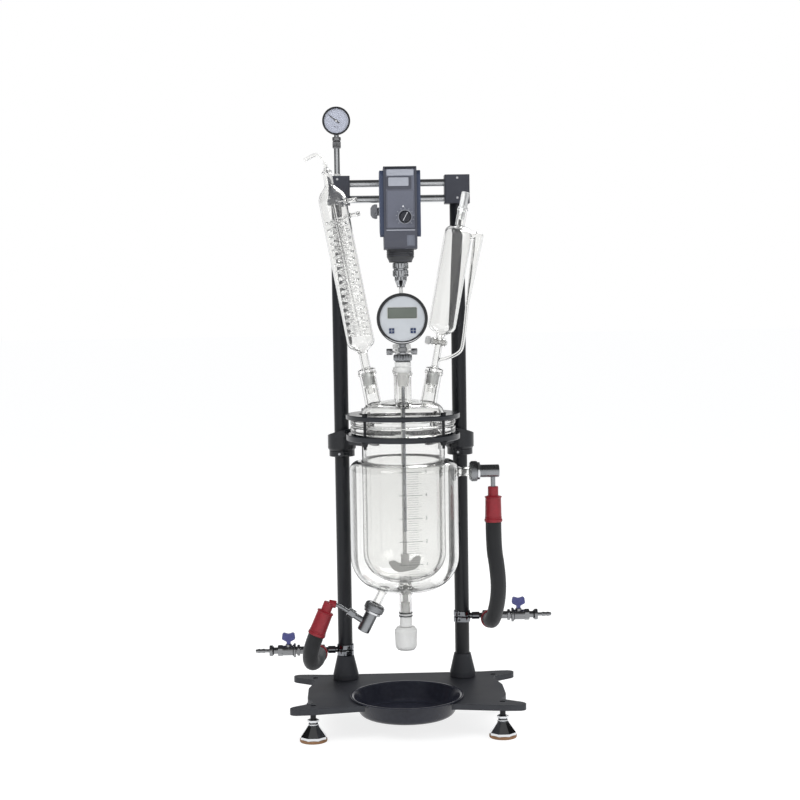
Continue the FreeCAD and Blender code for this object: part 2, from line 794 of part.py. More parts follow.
outlet_z = s.vessel_top - s.outlet_drop
outlet_start = jacket_bore + 1
outlet = port("outlet_port", s.outlet_reach - outlet_start)
place(outlet, outlet_start, axis_y, outlet_z, Y_AXIS, 90)
outlet_bore = cylinder("outlet_bore", s.port_bore, s.outlet_reach - s.vessel_radius)
place(outlet_bore, s.vessel_radius + 6, axis_y, outlet_z, Y_AXIS, 90)
inlet_angle = s.inlet_tilt + 180
inlet_z = s.vessel_top - s.inlet_drop
inlet = port("inlet_port", s.inlet_length)
place(inlet, -s.inlet_offset, axis_y, inlet_z, Y_AXIS, inlet_angle)
inlet_bore = cylinder("inlet_bore", s.port_bore, s.inlet_length + 12)
place(inlet_bore, -s.inlet_offset, axis_y, inlet_z, Y_AXIS, inlet_angle)
cavity = turned("jacket_cavity", [
    (s.drain_radius + 2, -s.jacket_depth + s.jacket_wall + 4),
    (jacket_bore - s.jacket_bottom_rounding * 0.55, -s.jacket_depth + s.dish_rise + s.jacket_wall + 4),
    (jacket_bore - s.jacket_bottom_rounding * 0.55, outer_floor), (s.drain_radius + 2, outer_floor)])
place(cavity, 0, axis_y, s.vessel_top)
jacket_with_ports = fused("jacket_with_ports", jacket_glass, outlet, inlet)
keep("vessel_jacket", cut("vessel_jacket", jacket_with_ports, outlet_bore, inlet_bore, cavity))

# Lid: flanged glass dome with five necks, one upright in the middle and four round it
lid_z = s.vessel_top + s.gasket_thickness
dome_wall = s.vessel_wall
lid_shell = turned("lid_shell", [
    (vessel_bore, 0), (s.flange_radius, 0, 5), (s.flange_radius, s.lid_flange_thickness, 4),
    (s.vessel_radius, s.lid_flange_thickness, 3),
    (s.vessel_radius, s.lid_wall_height + 8, s.lid_dome_rounding), (0, s.lid_dome_height),
    (0, s.lid_dome_height - dome_wall),
    (vessel_bore, s.lid_wall_height + 8 - dome_wall, s.lid_dome_rounding - dome_wall)])
place(lid_shell, 0, axis_y, lid_z)
upright_base = lid_z + s.lid_wall_height + 2
tilted_reach = s.tilted_neck_length + 14
neck_places = (
    ("centre", 0, axis_y, upright_base, 0, s.neck_top - upright_base),
    ("front", 0, axis_y - s.front_neck_offset, upright_base, 0, s.neck_top - upright_base),
    ("back", 0, axis_y + s.back_neck_offset, upright_base, 0, s.neck_top - upright_base),
    ("condenser", -s.condenser_offset, axis_y, s.tilted_neck_base, -s.condenser_tilt, None),
    ("funnel", s.funnel_offset, axis_y, s.tilted_neck_base, s.funnel_tilt, None),
)
necks = []
neck_bores = []
for label, x, y, z, tilt, height in neck_places:
    tall = height if height is not None else s.tilted_neck_length
    low = as_size(0) if height is not None else as_size(-14)
    neck = turned(f"{label}_neck", [
        (0, low), (s.neck_radius + 2, low), (s.neck_radius, low + 8), (s.neck_radius, tall - s.neck_rim - 2),
        (s.neck_rim_radius, tall - s.neck_rim, 1), (s.neck_rim_radius, tall, 1.5), (0, tall)])
    necks.append(place(neck, x, y, z, Y_AXIS, tilt))
    neck_bore = cylinder(f"{label}_neck_bore", s.neck_bore, tall - low + 22)
    turn = math.radians(as_size(tilt).number)
    sunk = low.number - 20
    start = numbers(x, y, z) + Vector(sunk * math.sin(turn), 0, sunk * math.cos(turn))
    neck_bore.Placement = Placement(start, Rotation(Y_AXIS, as_size(tilt).number))
    neck_bores.append(neck_bore)
hollow = turned("lid_hollow", [
    (0, 0), (vessel_bore, 0), (vessel_bore, s.lid_wall_height + 8 - dome_wall, s.lid_dome_rounding - dome_wall),
    (0, s.lid_dome_height - dome_wall)])
place(hollow, 0, axis_y, lid_z)
keep("lid", cut("lid", fused("lid_with_necks", lid_shell, *necks), hollow, *neck_bores))

# Flange gasket, rings and bolts: the two rings clamp lid and vessel together
gasket = turned("gasket", rectangle(vessel_bore + 1, 0, s.flange_radius - 3, s.gasket_thickness))
keep("flange_gasket", place(gasket, 0, axis_y, s.vessel_top))
bolt_places = [(s.bolt_circle * math.cos(math.radians(turn)), s.bolt_circle * math.sin(math.radians(turn)))
               for turn in (45, 135, 225, 315)]


def flange_ring(name, thickness, z):
    """A flat ring with a hole for each bolt."""
    ring = turned(name + "_blank", rectangle(s.ring_bore, 0, s.ring_radius, thickness, 1.5))
    holes = []
    for k, (x, y) in enumerate(bolt_places):
        hole = cylinder(f"{name}_hole_{k}", s.bolt_radius + s.seat_gap, thickness + 2)
        holes.append(place(hole, x, y, -1))
    ring = cut(name, ring, *holes)
    return keep(name, place(ring, 0, axis_y, z))


ring_top = lid_z + s.lid_flange_thickness
flange_ring("lower_flange_ring", s.lower_ring_thickness, ring_bottom)
flange_ring("upper_flange_ring", s.upper_ring_thickness, ring_top)
bolt_top = ring_top + s.upper_ring_thickness
bolts = []
for k, (x, y) in enumerate(bolt_places):
    tail = ring_bottom - s.bolt_tail
    # The flared nut seats under the lower ring, and the head on the upper one
    bolt = turned(f"bolt_{k}", [
        (0, tail), (s.bolt_radius, tail), (s.bolt_radius, ring_bottom - s.bolt_nut_height),
        (s.bolt_nut_radius * 0.6, ring_bottom - s.bolt_nut_height), (s.bolt_nut_radius, ring_bottom),
        (s.bolt_radius, ring_bottom), (s.bolt_radius, bolt_top), (s.bolt_head_radius, bolt_top),
        (s.bolt_head_radius, bolt_top + s.bolt_head_height, 1.5), (0, bolt_top + s.bolt_head_height)])
    bolts.append(place(bolt, x, axis_y + y, 0))
keep("flange_bolts", group("flange_bolts", bolts))

# Drain valve: white body on the neck's end, two seal rings, a plunger on the seat and a big screw knob
drain_end_z = s.vessel_top + drain_end
body_top = drain_end_z - s.drain_ring_height
plunger_bore = s.plunger_radius + s.running_gap
sleeve_radius = s.drain_bore - s.seat_gap
body = turned("drain_body", [
    (plunger_bore, -s.drain_body_length), (s.drain_body_radius, -s.drain_body_length, 1),
    (s.drain_body_radius, 0), (sleeve_radius, 0), (sleeve_radius, s.drain_length * 0.55),
    (plunger_bore, s.drain_length * 0.55)])
keep("drain_valve_body", place(body, 0, axis_y, body_top))
rings = []
for k, z in enumerate((body_top, body_top - s.drain_ring_height - 4)):
    low = as_size(0)
    inner = sleeve_radius + s.seat_gap if k == 0 else s.drain_body_radius + s.seat_gap
    ring = turned(f"drain_ring_{k}", rectangle(inner, 0, s.drain_ring_radius, s.drain_ring_height, 0.5))
    rings.append(place(ring, 0, axis_y, z))
keep("drain_o_rings", group("drain_o_rings", rings))
knob_top = body_top - s.drain_body_length - s.face_gap
stem_bottom = s.drain_knob_height * 0.5
plunger_length = s.vessel_top + seat_bottom - knob_top + stem_bottom - s.plunger_tip_gap
plunger = turned("plunger", [
    (0, 0), (s.plunger_radius, 0, 0.5), (s.plunger_radius, plunger_length - 4),
    (s.plunger_radius - 4, plunger_length), (0, plunger_length)])
keep("drain_plunger", place(plunger, 0, axis_y, knob_top - stem_bottom))
knob = turned("knob", [
    (0, -s.drain_knob_height), (s.drain_knob_radius - 3, 3 - s.drain_knob_height, 5),
    (s.drain_knob_radius, -s.drain_knob_shoulder, 1), (s.drain_knob_radius - s.drain_knob_shoulder, 0, 1),
    (plunger_bore, 0), (plunger_bore, -stem_bottom - 12), (0, -stem_bottom - 12)])
keep("drain_knob", place(knob, 0, axis_y, knob_top))

# Union nuts: round stainless nuts that clamp a port's rim to its elbow
nuts = []
rim_hole = s.port_rim_radius + s.seat_gap + 0.2
nut_places = (
    ("outlet", s.outlet_reach, axis_y, outlet_z, as_size(90), s.outlet_reach - outlet_start),
    ("inlet", -s.inlet_offset, axis_y, inlet_z, inlet_angle, s.inlet_length),
)


def along(x, y, z, angle, distance):
    """The point a distance along an axis that leans by an angle from Z towards X."""
    turn = math.radians(as_size(angle).number)
    step = as_size(distance).number
    return numbers(x, y, z) + Vector(step * math.sin(turn), 0, step * math.cos(turn))


def tilted(piece, x, y, z, angle, distance=0):
    """Put a piece on a leaning axis, a distance along it."""
    spot = along(x, y, z, angle, distance)
    piece.Placement = Placement(spot, Rotation(Y_AXIS, as_size(angle).number))
    return piece


outlet_axis = (outlet_start, axis_y, outlet_z, 90)
inlet_axis = (-s.inlet_offset, axis_y, inlet_z, inlet_angle)
outlet_tip = s.outlet_reach - outlet_start
rim_room = s.port_rim + 4
for label, axis, tip in (("outlet", outlet_axis, outlet_tip), ("inlet", inlet_axis, s.inlet_length)):
    blank = turned(f"{label}_nut_blank", [
        (s.port_radius + 0.8, 0), (s.nut_radius - 4, 0, 1), (s.nut_radius, 4, 1), (s.nut_radius, s.nut_length - 6, 0.5),
        (s.nut_radius - 2.5, s.nut_length - 5), (s.nut_radius - 2.5, s.nut_length, 1),
        (s.port_radius + 0.8, s.nut_length)])
    room = cylinder(f"{label}_nut_room", rim_hole, s.nut_length)
    place(room, z=s.nut_length - rim_room - 4)
    elbow_room = cylinder(f"{label}_nut_elbow_room", s.elbow_radius + s.seat_gap, rim_room)
    place(elbow_room, z=s.nut_length - rim_room + s.port_rim + 0.1)
    nut = cut(f"{label}_union_nut", blank, room, elbow_room)
    nuts.append(tilted(nut, *axis, tip - s.nut_length + rim_room - s.port_rim))
keep("union_nuts", group("union_nuts", nuts))

# Outlet elbow: a stub along the port with a spigot down into the hose end
elbow_stub = turned("outlet_stub", [
    (0, 0), (s.elbow_radius, 0), (s.elbow_radius, s.outlet_elbow_length, 2), (0, s.outlet_elbow_length)])
tilted(elbow_stub, *outlet_axis, outlet_tip + 0.1)
spigot_x = s.outlet_reach + 0.1 + s.spigot_offset
spigot = cylinder("outlet_spigot", s.spigot_radius, s.elbow_radius + s.spigot_length)
spigot_end = outlet_z - s.elbow_radius - s.spigot_length
place(spigot, spigot_x, axis_y, spigot_end)
keep("outlet_elbow", fused("outlet_elbow", elbow_stub, spigot))

# Inlet elbow: a stub along the port, a branch nut up to the left and a bent tube into the hose end
stub = turned("inlet_stub", [
    (0, 0), (s.elbow_radius, 0), (s.elbow_radius, s.inlet_elbow_length, 2), (0, s.inlet_elbow_length)])
tilted(stub, *inlet_axis, s.inlet_length + 0.1)
branch_root = along(*inlet_axis, s.inlet_length + s.inlet_elbow_length * 0.6)
branch_angle = -56.0
branch_nut = hex_nut("inlet_branch_nut", s.bend_nut_radius, 15)
tilted(branch_nut, branch_root.x, branch_root.y, branch_root.z, branch_angle, 31.5)
branch = cylinder("inlet_branch", s.bend_nut_radius - 3, 33)
tilted(branch, branch_root.x, branch_root.y, branch_root.z, branch_angle)
tube_start = along(branch_root.x, branch_root.y, branch_root.z, branch_angle, 42)
left_boot_top = Vector(-160, axis_y.number, 283)
tube_points = [tube_start, Vector(-136, axis_y.number, 269.5), Vector(-153, axis_y.number, 278)]
tube_shape, wire, used = swept(tube_points, s.bend_tube_radius.number)
bend = shape_piece("inlet_bend", tube_shape)
keep("inlet_elbow", fused("inlet_elbow", stub, branch, branch_nut, bend))

# Rubber hose ends: a narrow cap on the metal spigot that widens to a ridged cuff over the hose
boot_total = s.boot_cap_length + s.boot_length
boots = []
boot_outline = [
    (0, 0), (s.hose_radius + 0.5, 0), (s.cuff_radius, 1, 0.5), (s.cuff_radius, s.cuff_length, 1),
    (s.boot_radius + 1, s.cuff_length + 1, 1), (s.boot_radius, s.boot_length, 2),
    (s.boot_cap_radius, s.boot_length + 2, 1), (s.boot_cap_radius, boot_total, 1.5), (0, boot_total)]
right_boot_end = outlet_z - s.elbow_radius - 19.5 - boot_total
right_boot = turned("right_boot_blank", boot_outline)
place(right_boot, spigot_x, axis_y, right_boot_end)
spigot_hole = cylinder("right_boot_hole", s.spigot_radius + s.seat_gap, boot_total * 2)
place(spigot_hole, spigot_x, axis_y, spigot_end)
boots.append(cut("right_boot", right_boot, spigot_hole))
left_boot_end = Vector(-190, axis_y.number, 210.6)
boot_lean = left_boot_top - left_boot_end
left_boot = turned("left_boot_blank", boot_outline)
left_boot.Placement = Placement(left_boot_end, Rotation(Z_AXIS, boot_lean))
spur_root = left_boot_end + boot_lean * 0.93
spur_end = Vector(-147, axis_y.number, 275.3)
spur = shape_piece("left_boot_spur", Part.makeCylinder(
    8, (spur_end - spur_root).Length, spur_root, spur_end - spur_root))
boot_tube = shape_piece("left_boot_tube_room", swept(
    tube_points, (s.bend_tube_radius + s.seat_gap).number)[0])
boots.append(cut("left_boot", fused("left_boot_body", left_boot, spur), boot_tube))

# Insulated hoses: black foam tubes from the rubber ends, down and back to the valve lines
line_y = s.post_back
hose_end_y = line_y.number - 42
right_z = s.line_right_height.number
left_z = s.line_left_height.number
front = axis_y.number
tee_x = s.tee_offset.number
right_start = Vector(spigot_x.number, front, right_boot_end.number)
right_route = [
    right_start,
    right_start + Vector(0, 0, -54),
    right_start + Vector(7, 4, -96),
    right_start + Vector(11.5, 17, -143),
    right_start + Vector(9.5, 42, -187),
    Vector(tee_x, front + 80, right_z),
    Vector(tee_x, hose_end_y, right_z)]
lean = (left_boot_top - left_boot_end).normalize()
left_route = [
    left_boot_end,
    left_boot_end - lean * 36,
    Vector(-tee_x - 14, front + 30, left_z),
    Vector(-tee_x, front + 77, left_z),
    Vector(-tee_x, hose_end_y, left_z)]
for label, route in (("right", right_route), ("left", left_route)):
    shape, wire, used = swept(route, s.hose_radius.number)
    section = math.pi * s.hose_radius.number ** 2
    print(f"{label} hose: length {wire.Length:.1f}, arc radii "
          + ", ".join(f"{radius:.0f}" for radius in used)
          + f", volume ratio {shape.Volume / (section * wire.Length):.4f}")
    keep(f"{label}_hose", shape_piece(f"{label}_hose", shape))
for label, sign, z in (("right", 1, s.line_right_height), ("left", -1, s.line_left_height)):
    cuff = turned(f"{label}_cuff", [
        (s.boot_cap_radius - 1 + s.seat_gap, 26), (s.boot_cap_radius - 1 + s.seat_gap, 4),
        (0, 4), (0, 0), (s.cuff_radius + 1, 0, 1), (s.cuff_radius + 1, s.cuff_length, 1),
        (s.boot_radius, s.cuff_length + 1, 1), (s.boot_cap_radius + 2, 26, 2)])
    place(cuff, s.tee_offset * sign, line_y - 42, z, X_AXIS, -90)
    boots.append(cuff)
keep("hose_ends", group("hose_ends", boots))

# Water lines behind the hoses: a chrome collar on each post, an arm, a tee, and a ball valve with a barb
clamps = []
for label, sign, z in (("right", 1, s.line_right_height), ("left", -1, s.line_left_height)):
    half_height = s.line_collar_height / 2
    bore = s.post_radius + s.seat_gap
    collar = turned(f"{label}_line_collar", [
        (bore, 0), (s.line_collar_radius, 0, 1.5), (s.line_collar_radius, half_height - 2, 1),
        (s.line_collar_radius - 1.5, half_height), (s.line_collar_radius, half_height + 2, 1),
        (s.line_collar_radius, s.line_collar_height, 1.5), (bore, s.line_collar_height)])
    place(collar, post_x * sign, s.post_back, z - half_height)
    arm_start = s.line_collar_radius - 1
    arm_end = s.tee_offset - post_x - s.tee_radius - 3
    arm = turned(f"{label}_line_arm", [
        (0, arm_start), (s.line_arm_radius - 2, arm_start), (s.line_arm_radius - 2, arm_start + 4),
        (s.line_arm_radius, arm_start + 5, 1), (s.line_arm_radius, arm_end - 6, 1),
        (s.line_arm_radius - 2.5, arm_end - 5), (s.line_arm_radius - 2.5, arm_end), (0, arm_end)])
    place(arm, post_x * sign, s.post_back, z, Y_AXIS, 90 * sign)
    clamps.append(fused(f"{label}_line_clamp", collar, arm))

    # Tee and ball valve in one axis with the arm; the barb's tip is the line's far end
    start = s.tee_offset - s.tee_radius - 3
    valve = s.valve_start
    barrel = turned(f"{label}_valve_barrel", [
        (0, start), (s.line_arm_radius - 1, start), (s.tee_radius, start + 2, 1),
        (s.tee_radius, s.tee_offset + s.tee_radius, 3), (s.line_arm_radius, s.tee_offset + s.tee_radius + 6),
        (s.line_arm_radius, valve + 9), (s.valve_flange_radius, valve + 9.4),
        (s.valve_flange_radius, valve + 13.8), (s.valve_radius, valve + 14),
        (s.valve_radius, valve + 38), (s.line_arm_radius - 1, valve + 49),
        (s.line_arm_radius - 1, valve + 60), (s.valve_nut_radius, valve + 60, 1),
        (s.valve_nut_radius, valve + 67.4, 1), (s.barb_radius, valve + 68),
        (s.barb_radius, s.barb_tip - 20), (s.barb_radius + 0.9, s.barb_tip - 20),
        (s.barb_radius + 0.9, s.barb_tip - 17), (s.barb_radius, s.barb_tip - 10),
        (s.barb_radius + 0.9, s.barb_tip - 10), (s.barb_radius + 0.9, s.barb_tip - 7),
        (s.barb_radius - 0.6, s.barb_tip), (s.barb_bore, s.barb_tip),
        (s.barb_bore, s.barb_tip - 30), (0, s.barb_tip - 30)])
    place(barrel, 0, s.post_back, z, Y_AXIS, 90 * sign)
    front_hex = hex_nut(f"{label}_valve_front_hex", s.valve_hex_radius, 6)
    place(front_hex, valve * sign, s.post_back, z, Y_AXIS, 90 * sign)
    rear_hex = hex_nut(f"{label}_valve_rear_hex", s.valve_hex_radius, 11)
    place(rear_hex, (valve + 38) * sign, s.post_back, z, Y_AXIS, 90 * sign)
    spigot = turned(f"{label}_tee_spigot", [
        (0, 0), (s.tee_radius - 1, 0), (s.tee_radius - 1, 15.5), (s.boot_cap_radius - 1, 15.5),
        (s.boot_cap_radius - 1, 37.5, 1), (0, 37.5)])
    place(spigot, s.tee_offset * sign, s.post_back, z, X_AXIS, 90)
    bonnet = cylinder(f"{label}_valve_bonnet", s.handle_stem_radius + 3, s.valve_radius + 3)
    place(bonnet, s.handle_offset * sign, s.post_back, z)
    stem_hole = cylinder(f"{label}_stem_hole", s.handle_stem_radius + s.running_gap, s.valve_radius + 3)
    place(stem_hole, s.handle_offset * sign, s.post_back, z + 5)
    metal = fused(f"{label}_valve_metal", barrel, front_hex, rear_hex, spigot, bonnet)
    keep(f"{label}_ball_valve", cut(f"{label}_ball_valve", metal, stem_hole))

    # Handle: a stem in the bonnet with a waisted wing across it
    stem = cylinder(f"{label}_handle_stem", s.handle_stem_radius, s.handle_rise)
    place(stem, z=5.3)
    half_span, half_thick = s.handle_span / 2, s.handle_thickness / 2
    foot_z = s.valve_radius + 3 + s.face_gap
    wing_top = s.handle_rise + s.handle_height
    wing = padded(f"{label}_handle_wing", [
        (-half_thick, foot_z), (half_thick, foot_z), (half_thick, foot_z + 6, 2),
        (half_span, wing_top - 15, 4), (half_span - 2, wing_top, 4), (0, wing_top - 4, 8),
        (2 - half_span, wing_top, 4), (-half_span, wing_top - 15, 4), (-half_thick, foot_z + 6, 2)],
        s.handle_thickness)
    place(wing, 0, half_thick, 0, X_AXIS, 90)
    handle = fused(f"{label}_valve_handle", stem, wing)
    keep(f"{label}_valve_handle", place(handle, s.handle_offset * sign, s.post_back, z))
keep("line_clamps", group("line_clamps", clamps))

# Vacuum gauge: a stem on the left head block, a hexagon and a round case with a recessed dial
gauge_nut_z = s.gauge_collar_height + s.gauge_stem_length
gauge_hex_z = gauge_nut_z + s.gauge_nut_height
case_bottom = s.gauge_centre - block_top - s.gauge_radius + 3
stem = turned("gauge_stem", [
    (0, 0), (s.gauge_stem_radius + 1.2, 0, 1), (s.gauge_stem_radius + 1.2, s.gauge_collar_height, 1),
    (s.gauge_stem_radius, s.gauge_collar_height), (s.gauge_stem_radius, gauge_nut_z),
    (s.gauge_nut_radius, gauge_nut_z, 1), (s.gauge_nut_radius, gauge_hex_z, 1), (5, gauge_hex_z),
    (5, case_bottom), (0, case_bottom)])
place(stem, -post_x, s.post_back, block_top)
stem_hex = hex_nut("gauge_stem_hex", s.gauge_nut_radius, 8)
place(stem_hex, -post_x, s.post_back, block_top + gauge_hex_z)
dial_depth = s.gauge_depth - s.gauge_bezel
case = turned("gauge_case", [
    (0, 0), (s.gauge_radius - 4, 0, 3), (s.gauge_radius, 5, 2), (s.gauge_radius, s.gauge_depth, 2),
    (s.gauge_radius - s.gauge_bezel, s.gauge_depth, 1), (s.gauge_radius - s.gauge_bezel, dial_depth),
    (2, dial_depth), (2, dial_depth - 5), (0, dial_depth - 5)])
place(case, -post_x, s.post_back + s.gauge_depth / 2, s.gauge_centre, X_AXIS, 90)
keep("vacuum_gauge", fused("vacuum_gauge", stem, stem_hex, case))
hub = cylinder("needle_hub", 2 - s.running_gap, 6)
place(hub, z=-4.5)
boss = cylinder("needle_boss", 3, 1.6)
place(boss, z=0.4)
blade = padded("needle_blade", [(-1.6, -8, 0.7), (1.6, -8, 0.7), (0.5, s.needle_length), (-0.5, s.needle_length)], 1)
place(blade, z=0.6)
needle = fused("gauge_needle", hub, boss, blade)
needle.Placement = Placement(numbers(-post_x, s.post_back + s.gauge_depth / 2 - dial_depth, s.gauge_centre),
                             Rotation(X_AXIS, 90) * Rotation(Z_AXIS, 52))
keep("gauge_needle", needle)

# Stirrer: a moulded housing with side covers, a front panel, a bearing nose and the carrier on the rods
housing_front = -s.stirrer_front
housing_back = housing_front + s.stirrer_depth
half_width = s.stirrer_width / 2
top_z = s.stirrer_height
side_view = [
    (housing_front + 6, 0, 8), (housing_front, 18, 10), (housing_front, top_z - 3, 6),
    (housing_front + 12, top_z, 10), (housing_back - 12, top_z - 4, 12), (housing_back, top_z - 24, 10),
    (housing_back, 26, 14), (housing_back - 20, 0, 10)]
block = padded("stirrer_block", side_view, s.stirrer_width)
block.Placement = Placement(numbers(-half_width, 0, s.stirrer_bottom), Rotation(Vector(1, 1, 1), 120))
nose = turned("stirrer_nose", [
    (s.spindle_radius + s.running_gap, 2), (s.nose_radius, 2), (s.nose_radius, -s.nose_height + 12, 8),
    (s.nose_lower_radius, -s.nose_height, 3), (s.spindle_radius + s.running_gap, -s.nose_height)])
place(nose, 0, axis_y, s.stirrer_bottom)
spindle_room = cylinder("spindle_room", s.spindle_radius + s.running_gap, 40)
place(spindle_room, 0, axis_y, s.stirrer_bottom - 30)
support_rod = cylinder("stirrer_support_rod", s.support_rod_radius, s.post_back + s.carrier_depth / 2 - housing_back)
place(support_rod, 0, housing_back - 4, s.support_rod_height, X_AXIS, -90)
knob_z = s.stirrer_bottom + s.speed_knob_height_above
knob_hole = cylinder("speed_knob_hole", 3 + s.running_gap, 20)
place(knob_hole, s.speed_knob_offset, housing_front + 14, knob_z, X_AXIS, 90)
housing = cut("stirrer_housing", fused("stirrer_shell", block, nose, support_rod), spindle_room, knob_hole)
keep("stirrer_housing", housing)
covers = []
for side, sign in SIDES:
    low = s.stirrer_height - s.cover_height - 8
    plate = padded(f"{side}_cover", [
        (housing_front + 10, low, 10), (housing_front + 6, low + s.cover_height, 12),
        (housing_front + 6 + s.cover_depth, low + s.cover_height, 16),
        (housing_front + 6 + s.cover_depth, low + 14, 16)], s.cover_thickness)
    start = half_width if sign > 0 else -half_width - s.cover_thickness
    plate.Placement = Placement(numbers(start, 0, s.stirrer_bottom), Rotation(Vector(1, 1, 1), 120))
    covers.append(plate)
keep("stirrer_side_covers", group("stirrer_side_covers", covers))
panel_half = s.panel_width / 2
panel_z = s.panel_bottom
panel = padded("panel_blank", rectangle(-panel_half, 0, panel_half, s.panel_height, 3), s.panel_thickness,
               [(s.speed_knob_offset, knob_z - panel_z, 3 + s.running_gap)])
place(panel, 0, housing_front, panel_z, X_AXIS, 90)
window = padded("display_room", rectangle(-20, s.panel_height - 33, 20, s.panel_height - 19, 1), 4)
place(window, 0, housing_front - s.panel_thickness + 1.4, panel_z, X_AXIS, 90)
keep("stirrer_panel", cut("stirrer_panel", panel, window))
knob = turned("speed_knob_body", [
    (0, -14), (3, -14), (3, 0), (s.speed_knob_radius, 0), (s.speed_knob_radius, 3, 1),
    (s.speed_knob_radius - 2, 4), (s.speed_knob_radius - 3, s.speed_knob_height, 1.5),
    (0, s.speed_knob_height)])
grip = padded("speed_knob_grip", rectangle(-2.6, 2.5 - s.speed_knob_radius, 2.6, s.speed_knob_radius - 2.5, 2),
              s.speed_knob_height)
speed_knob = fused("speed_knob", knob, grip)
speed_knob.Placement = Placement(
    numbers(s.speed_knob_offset, housing_front - s.panel_thickness - s.face_gap, knob_z),
    Rotation(X_AXIS, 90) * Rotation(Z_AXIS, -28))
keep("speed_knob", speed_knob)
carrier_half = s.carrier_width / 2
carrier_height = s.carrier_top - s.carrier_bottom
carrier_front = s.post_back - s.carrier_depth / 2
carrier_block = padded("carrier_block", rectangle(-carrier_half, 0, carrier_half, s.carrier_depth, 4), carrier_height)
place(carrier_block, 0, carrier_front, s.carrier_bottom)
carrier_bores = []
for level, z in (("upper", upper_rod_z), ("lower", lower_rod_z)):
    bore = cylinder(f"carrier_{level}_bore", s.rod_radius + s.seat_gap, s.carrier_width + 2)
    carrier_bores.append(place(bore, -carrier_half - 1, s.post_back, z, Y_AXIS, 90))
bore = cylinder("carrier_support_bore", s.support_rod_radius + s.seat_gap, s.carrier_depth + 2)
carrier_bores.append(place(bore, 0, carrier_front - 1, s.support_rod_height, X_AXIS, -90))
bore = cylinder("carrier_screw_bore", s.carrier_screw_radius + s.running_gap, s.carrier_screw_length + 2)
place(bore, -carrier_half - 1, s.post_back, s.support_rod_height, Y_AXIS, 90)
carrier_bores.append(bore)
keep("stirrer_carrier", cut("stirrer_carrier", carrier_block, *carrier_bores))
stub_length = 16.0
clamp_knob = turned("clamp_knob", [
    (0, -s.carrier_screw_length), (s.carrier_screw_radius, -s.carrier_screw_length),
    (s.carrier_screw_radius, s.face_gap), (9, s.face_gap), (9, stub_length), (s.carrier_knob_radius, stub_length, 1),
    (s.carrier_knob_radius, stub_length + 4, 3),
    (s.carrier_knob_radius * 0.5, stub_length + s.carrier_knob_height, 6), (0, stub_length + s.carrier_knob_height)])
place(clamp_knob, -carrier_half, s.post_back, s.support_rod_height, Y_AXIS, -90)
keep("carrier_knob", clamp_knob)

# Stirring train: chuck with three jaws, coated shaft with a slotted hub, and the half-moon paddle on its pin
chuck_top = s.stirrer_bottom - s.nose_height - s.face_gap
sleeve_end = -s.chuck_sleeve
jaw_end = sleeve_end - s.jaw_length
shaft_room = s.shaft_radius + s.seat_gap
chuck_blank = turned("chuck_blank", [
    (0, s.spindle_length), (s.spindle_radius, s.spindle_length), (s.spindle_radius, 0), (s.chuck_radius, 0, 1.5),
    (s.chuck_radius, sleeve_end * 0.46, 1), (s.chuck_radius - 1.6, sleeve_end * 0.5),
    (s.chuck_radius, sleeve_end * 0.54, 1), (s.chuck_radius, sleeve_end, 1.5),
    (s.jaw_radius, sleeve_end), (s.jaw_radius, sleeve_end - 8, 2), (s.jaw_tip_radius, jaw_end),
    (shaft_room, jaw_end), (shaft_room, sleeve_end), (0, sleeve_end)])
flutes = []
for k in range(12):
    flute = cylinder(f"chuck_flute_{k}", 1.8, s.chuck_sleeve - 4)
    turn = math.radians(30 * k)
    reach = s.chuck_radius + 0.7
    place(flute, reach * math.cos(turn), reach * math.sin(turn), sleeve_end + 2)
    flutes.append(flute)
chuck = cut("chuck", chuck_blank, *flutes)
keep("chuck", place(chuck, 0, axis_y, chuck_top))
shaft_top = chuck_top + sleeve_end - 0.5
rod = cylinder("shaft_rod", s.shaft_radius, shaft_top - s.shaft_bottom + 6)
place(rod, z=-6)
hub = turned("shaft_hub", [
    (0, 0), (s.hub_radius, 0, 1.5), (s.hub_radius, -s.hub_height, 1), (0, -s.hub_height)])
slot_half = s.paddle_thickness / 2 + s.running_gap
slot = padded("hub_slot", rectangle(-s.hub_radius * 1.2, -slot_half, s.hub_radius * 1.2, slot_half), s.hub_slot_depth + 1)
place(slot, z=-s.hub_height - 1)
pin = cylinder("paddle_pin", s.paddle_pin_radius, s.hub_radius * 2 - 1)
place(pin, 0, s.hub_radius - 0.5, -s.hub_height + s.paddle_pin_height, X_AXIS, 90)
shaft = fused("stirring_shaft", cut("shaft_with_slot", fused("shaft_and_hub", rod, hub), slot), pin)
keep("stirring_shaft", place(shaft, 0, axis_y, s.shaft_bottom))
pin_z = s.shaft_bottom - s.hub_height + s.paddle_pin_height
half_span = s.paddle_span / 2
crown = s.hub_slot_depth - s.paddle_pin_height - 5
blade = padded("paddle_blade", [
    (-half_span, crown - 6, 4), (-half_span * 0.97, crown, 3), (-half_span * 0.62, crown, 8),
    (-s.hub_radius - 3, crown - 9, 6), (s.hub_radius + 3, crown - 9, 6), (half_span * 0.62, crown, 8),
    (half_span * 0.97, crown, 3), (half_span, crown - 6, 4),
    (half_span * 0.72, crown - s.paddle_height, 22), (-half_span * 0.72, crown - s.paddle_height, 22)],
    s.paddle_thickness)
place(blade, 0, s.paddle_thickness / 2, 0, X_AXIS, 90)
boss = cylinder("paddle_boss", 6, s.paddle_thickness)
place(boss, 0, s.paddle_thickness / 2, 0, X_AXIS, 90)
pin_room = cylinder("paddle_pin_room", s.paddle_pin_radius + s.running_gap, s.paddle_thickness + 2)
place(pin_room, 0, s.paddle_thickness / 2 + 1, 0, X_AXIS, 90)
paddle = cut("paddle", fused("paddle_body", blade, boss), pin_room)
paddle.Placement = Placement(numbers(0, axis_y, pin_z), Rotation(Y_AXIS, -s.paddle_tilt.number))
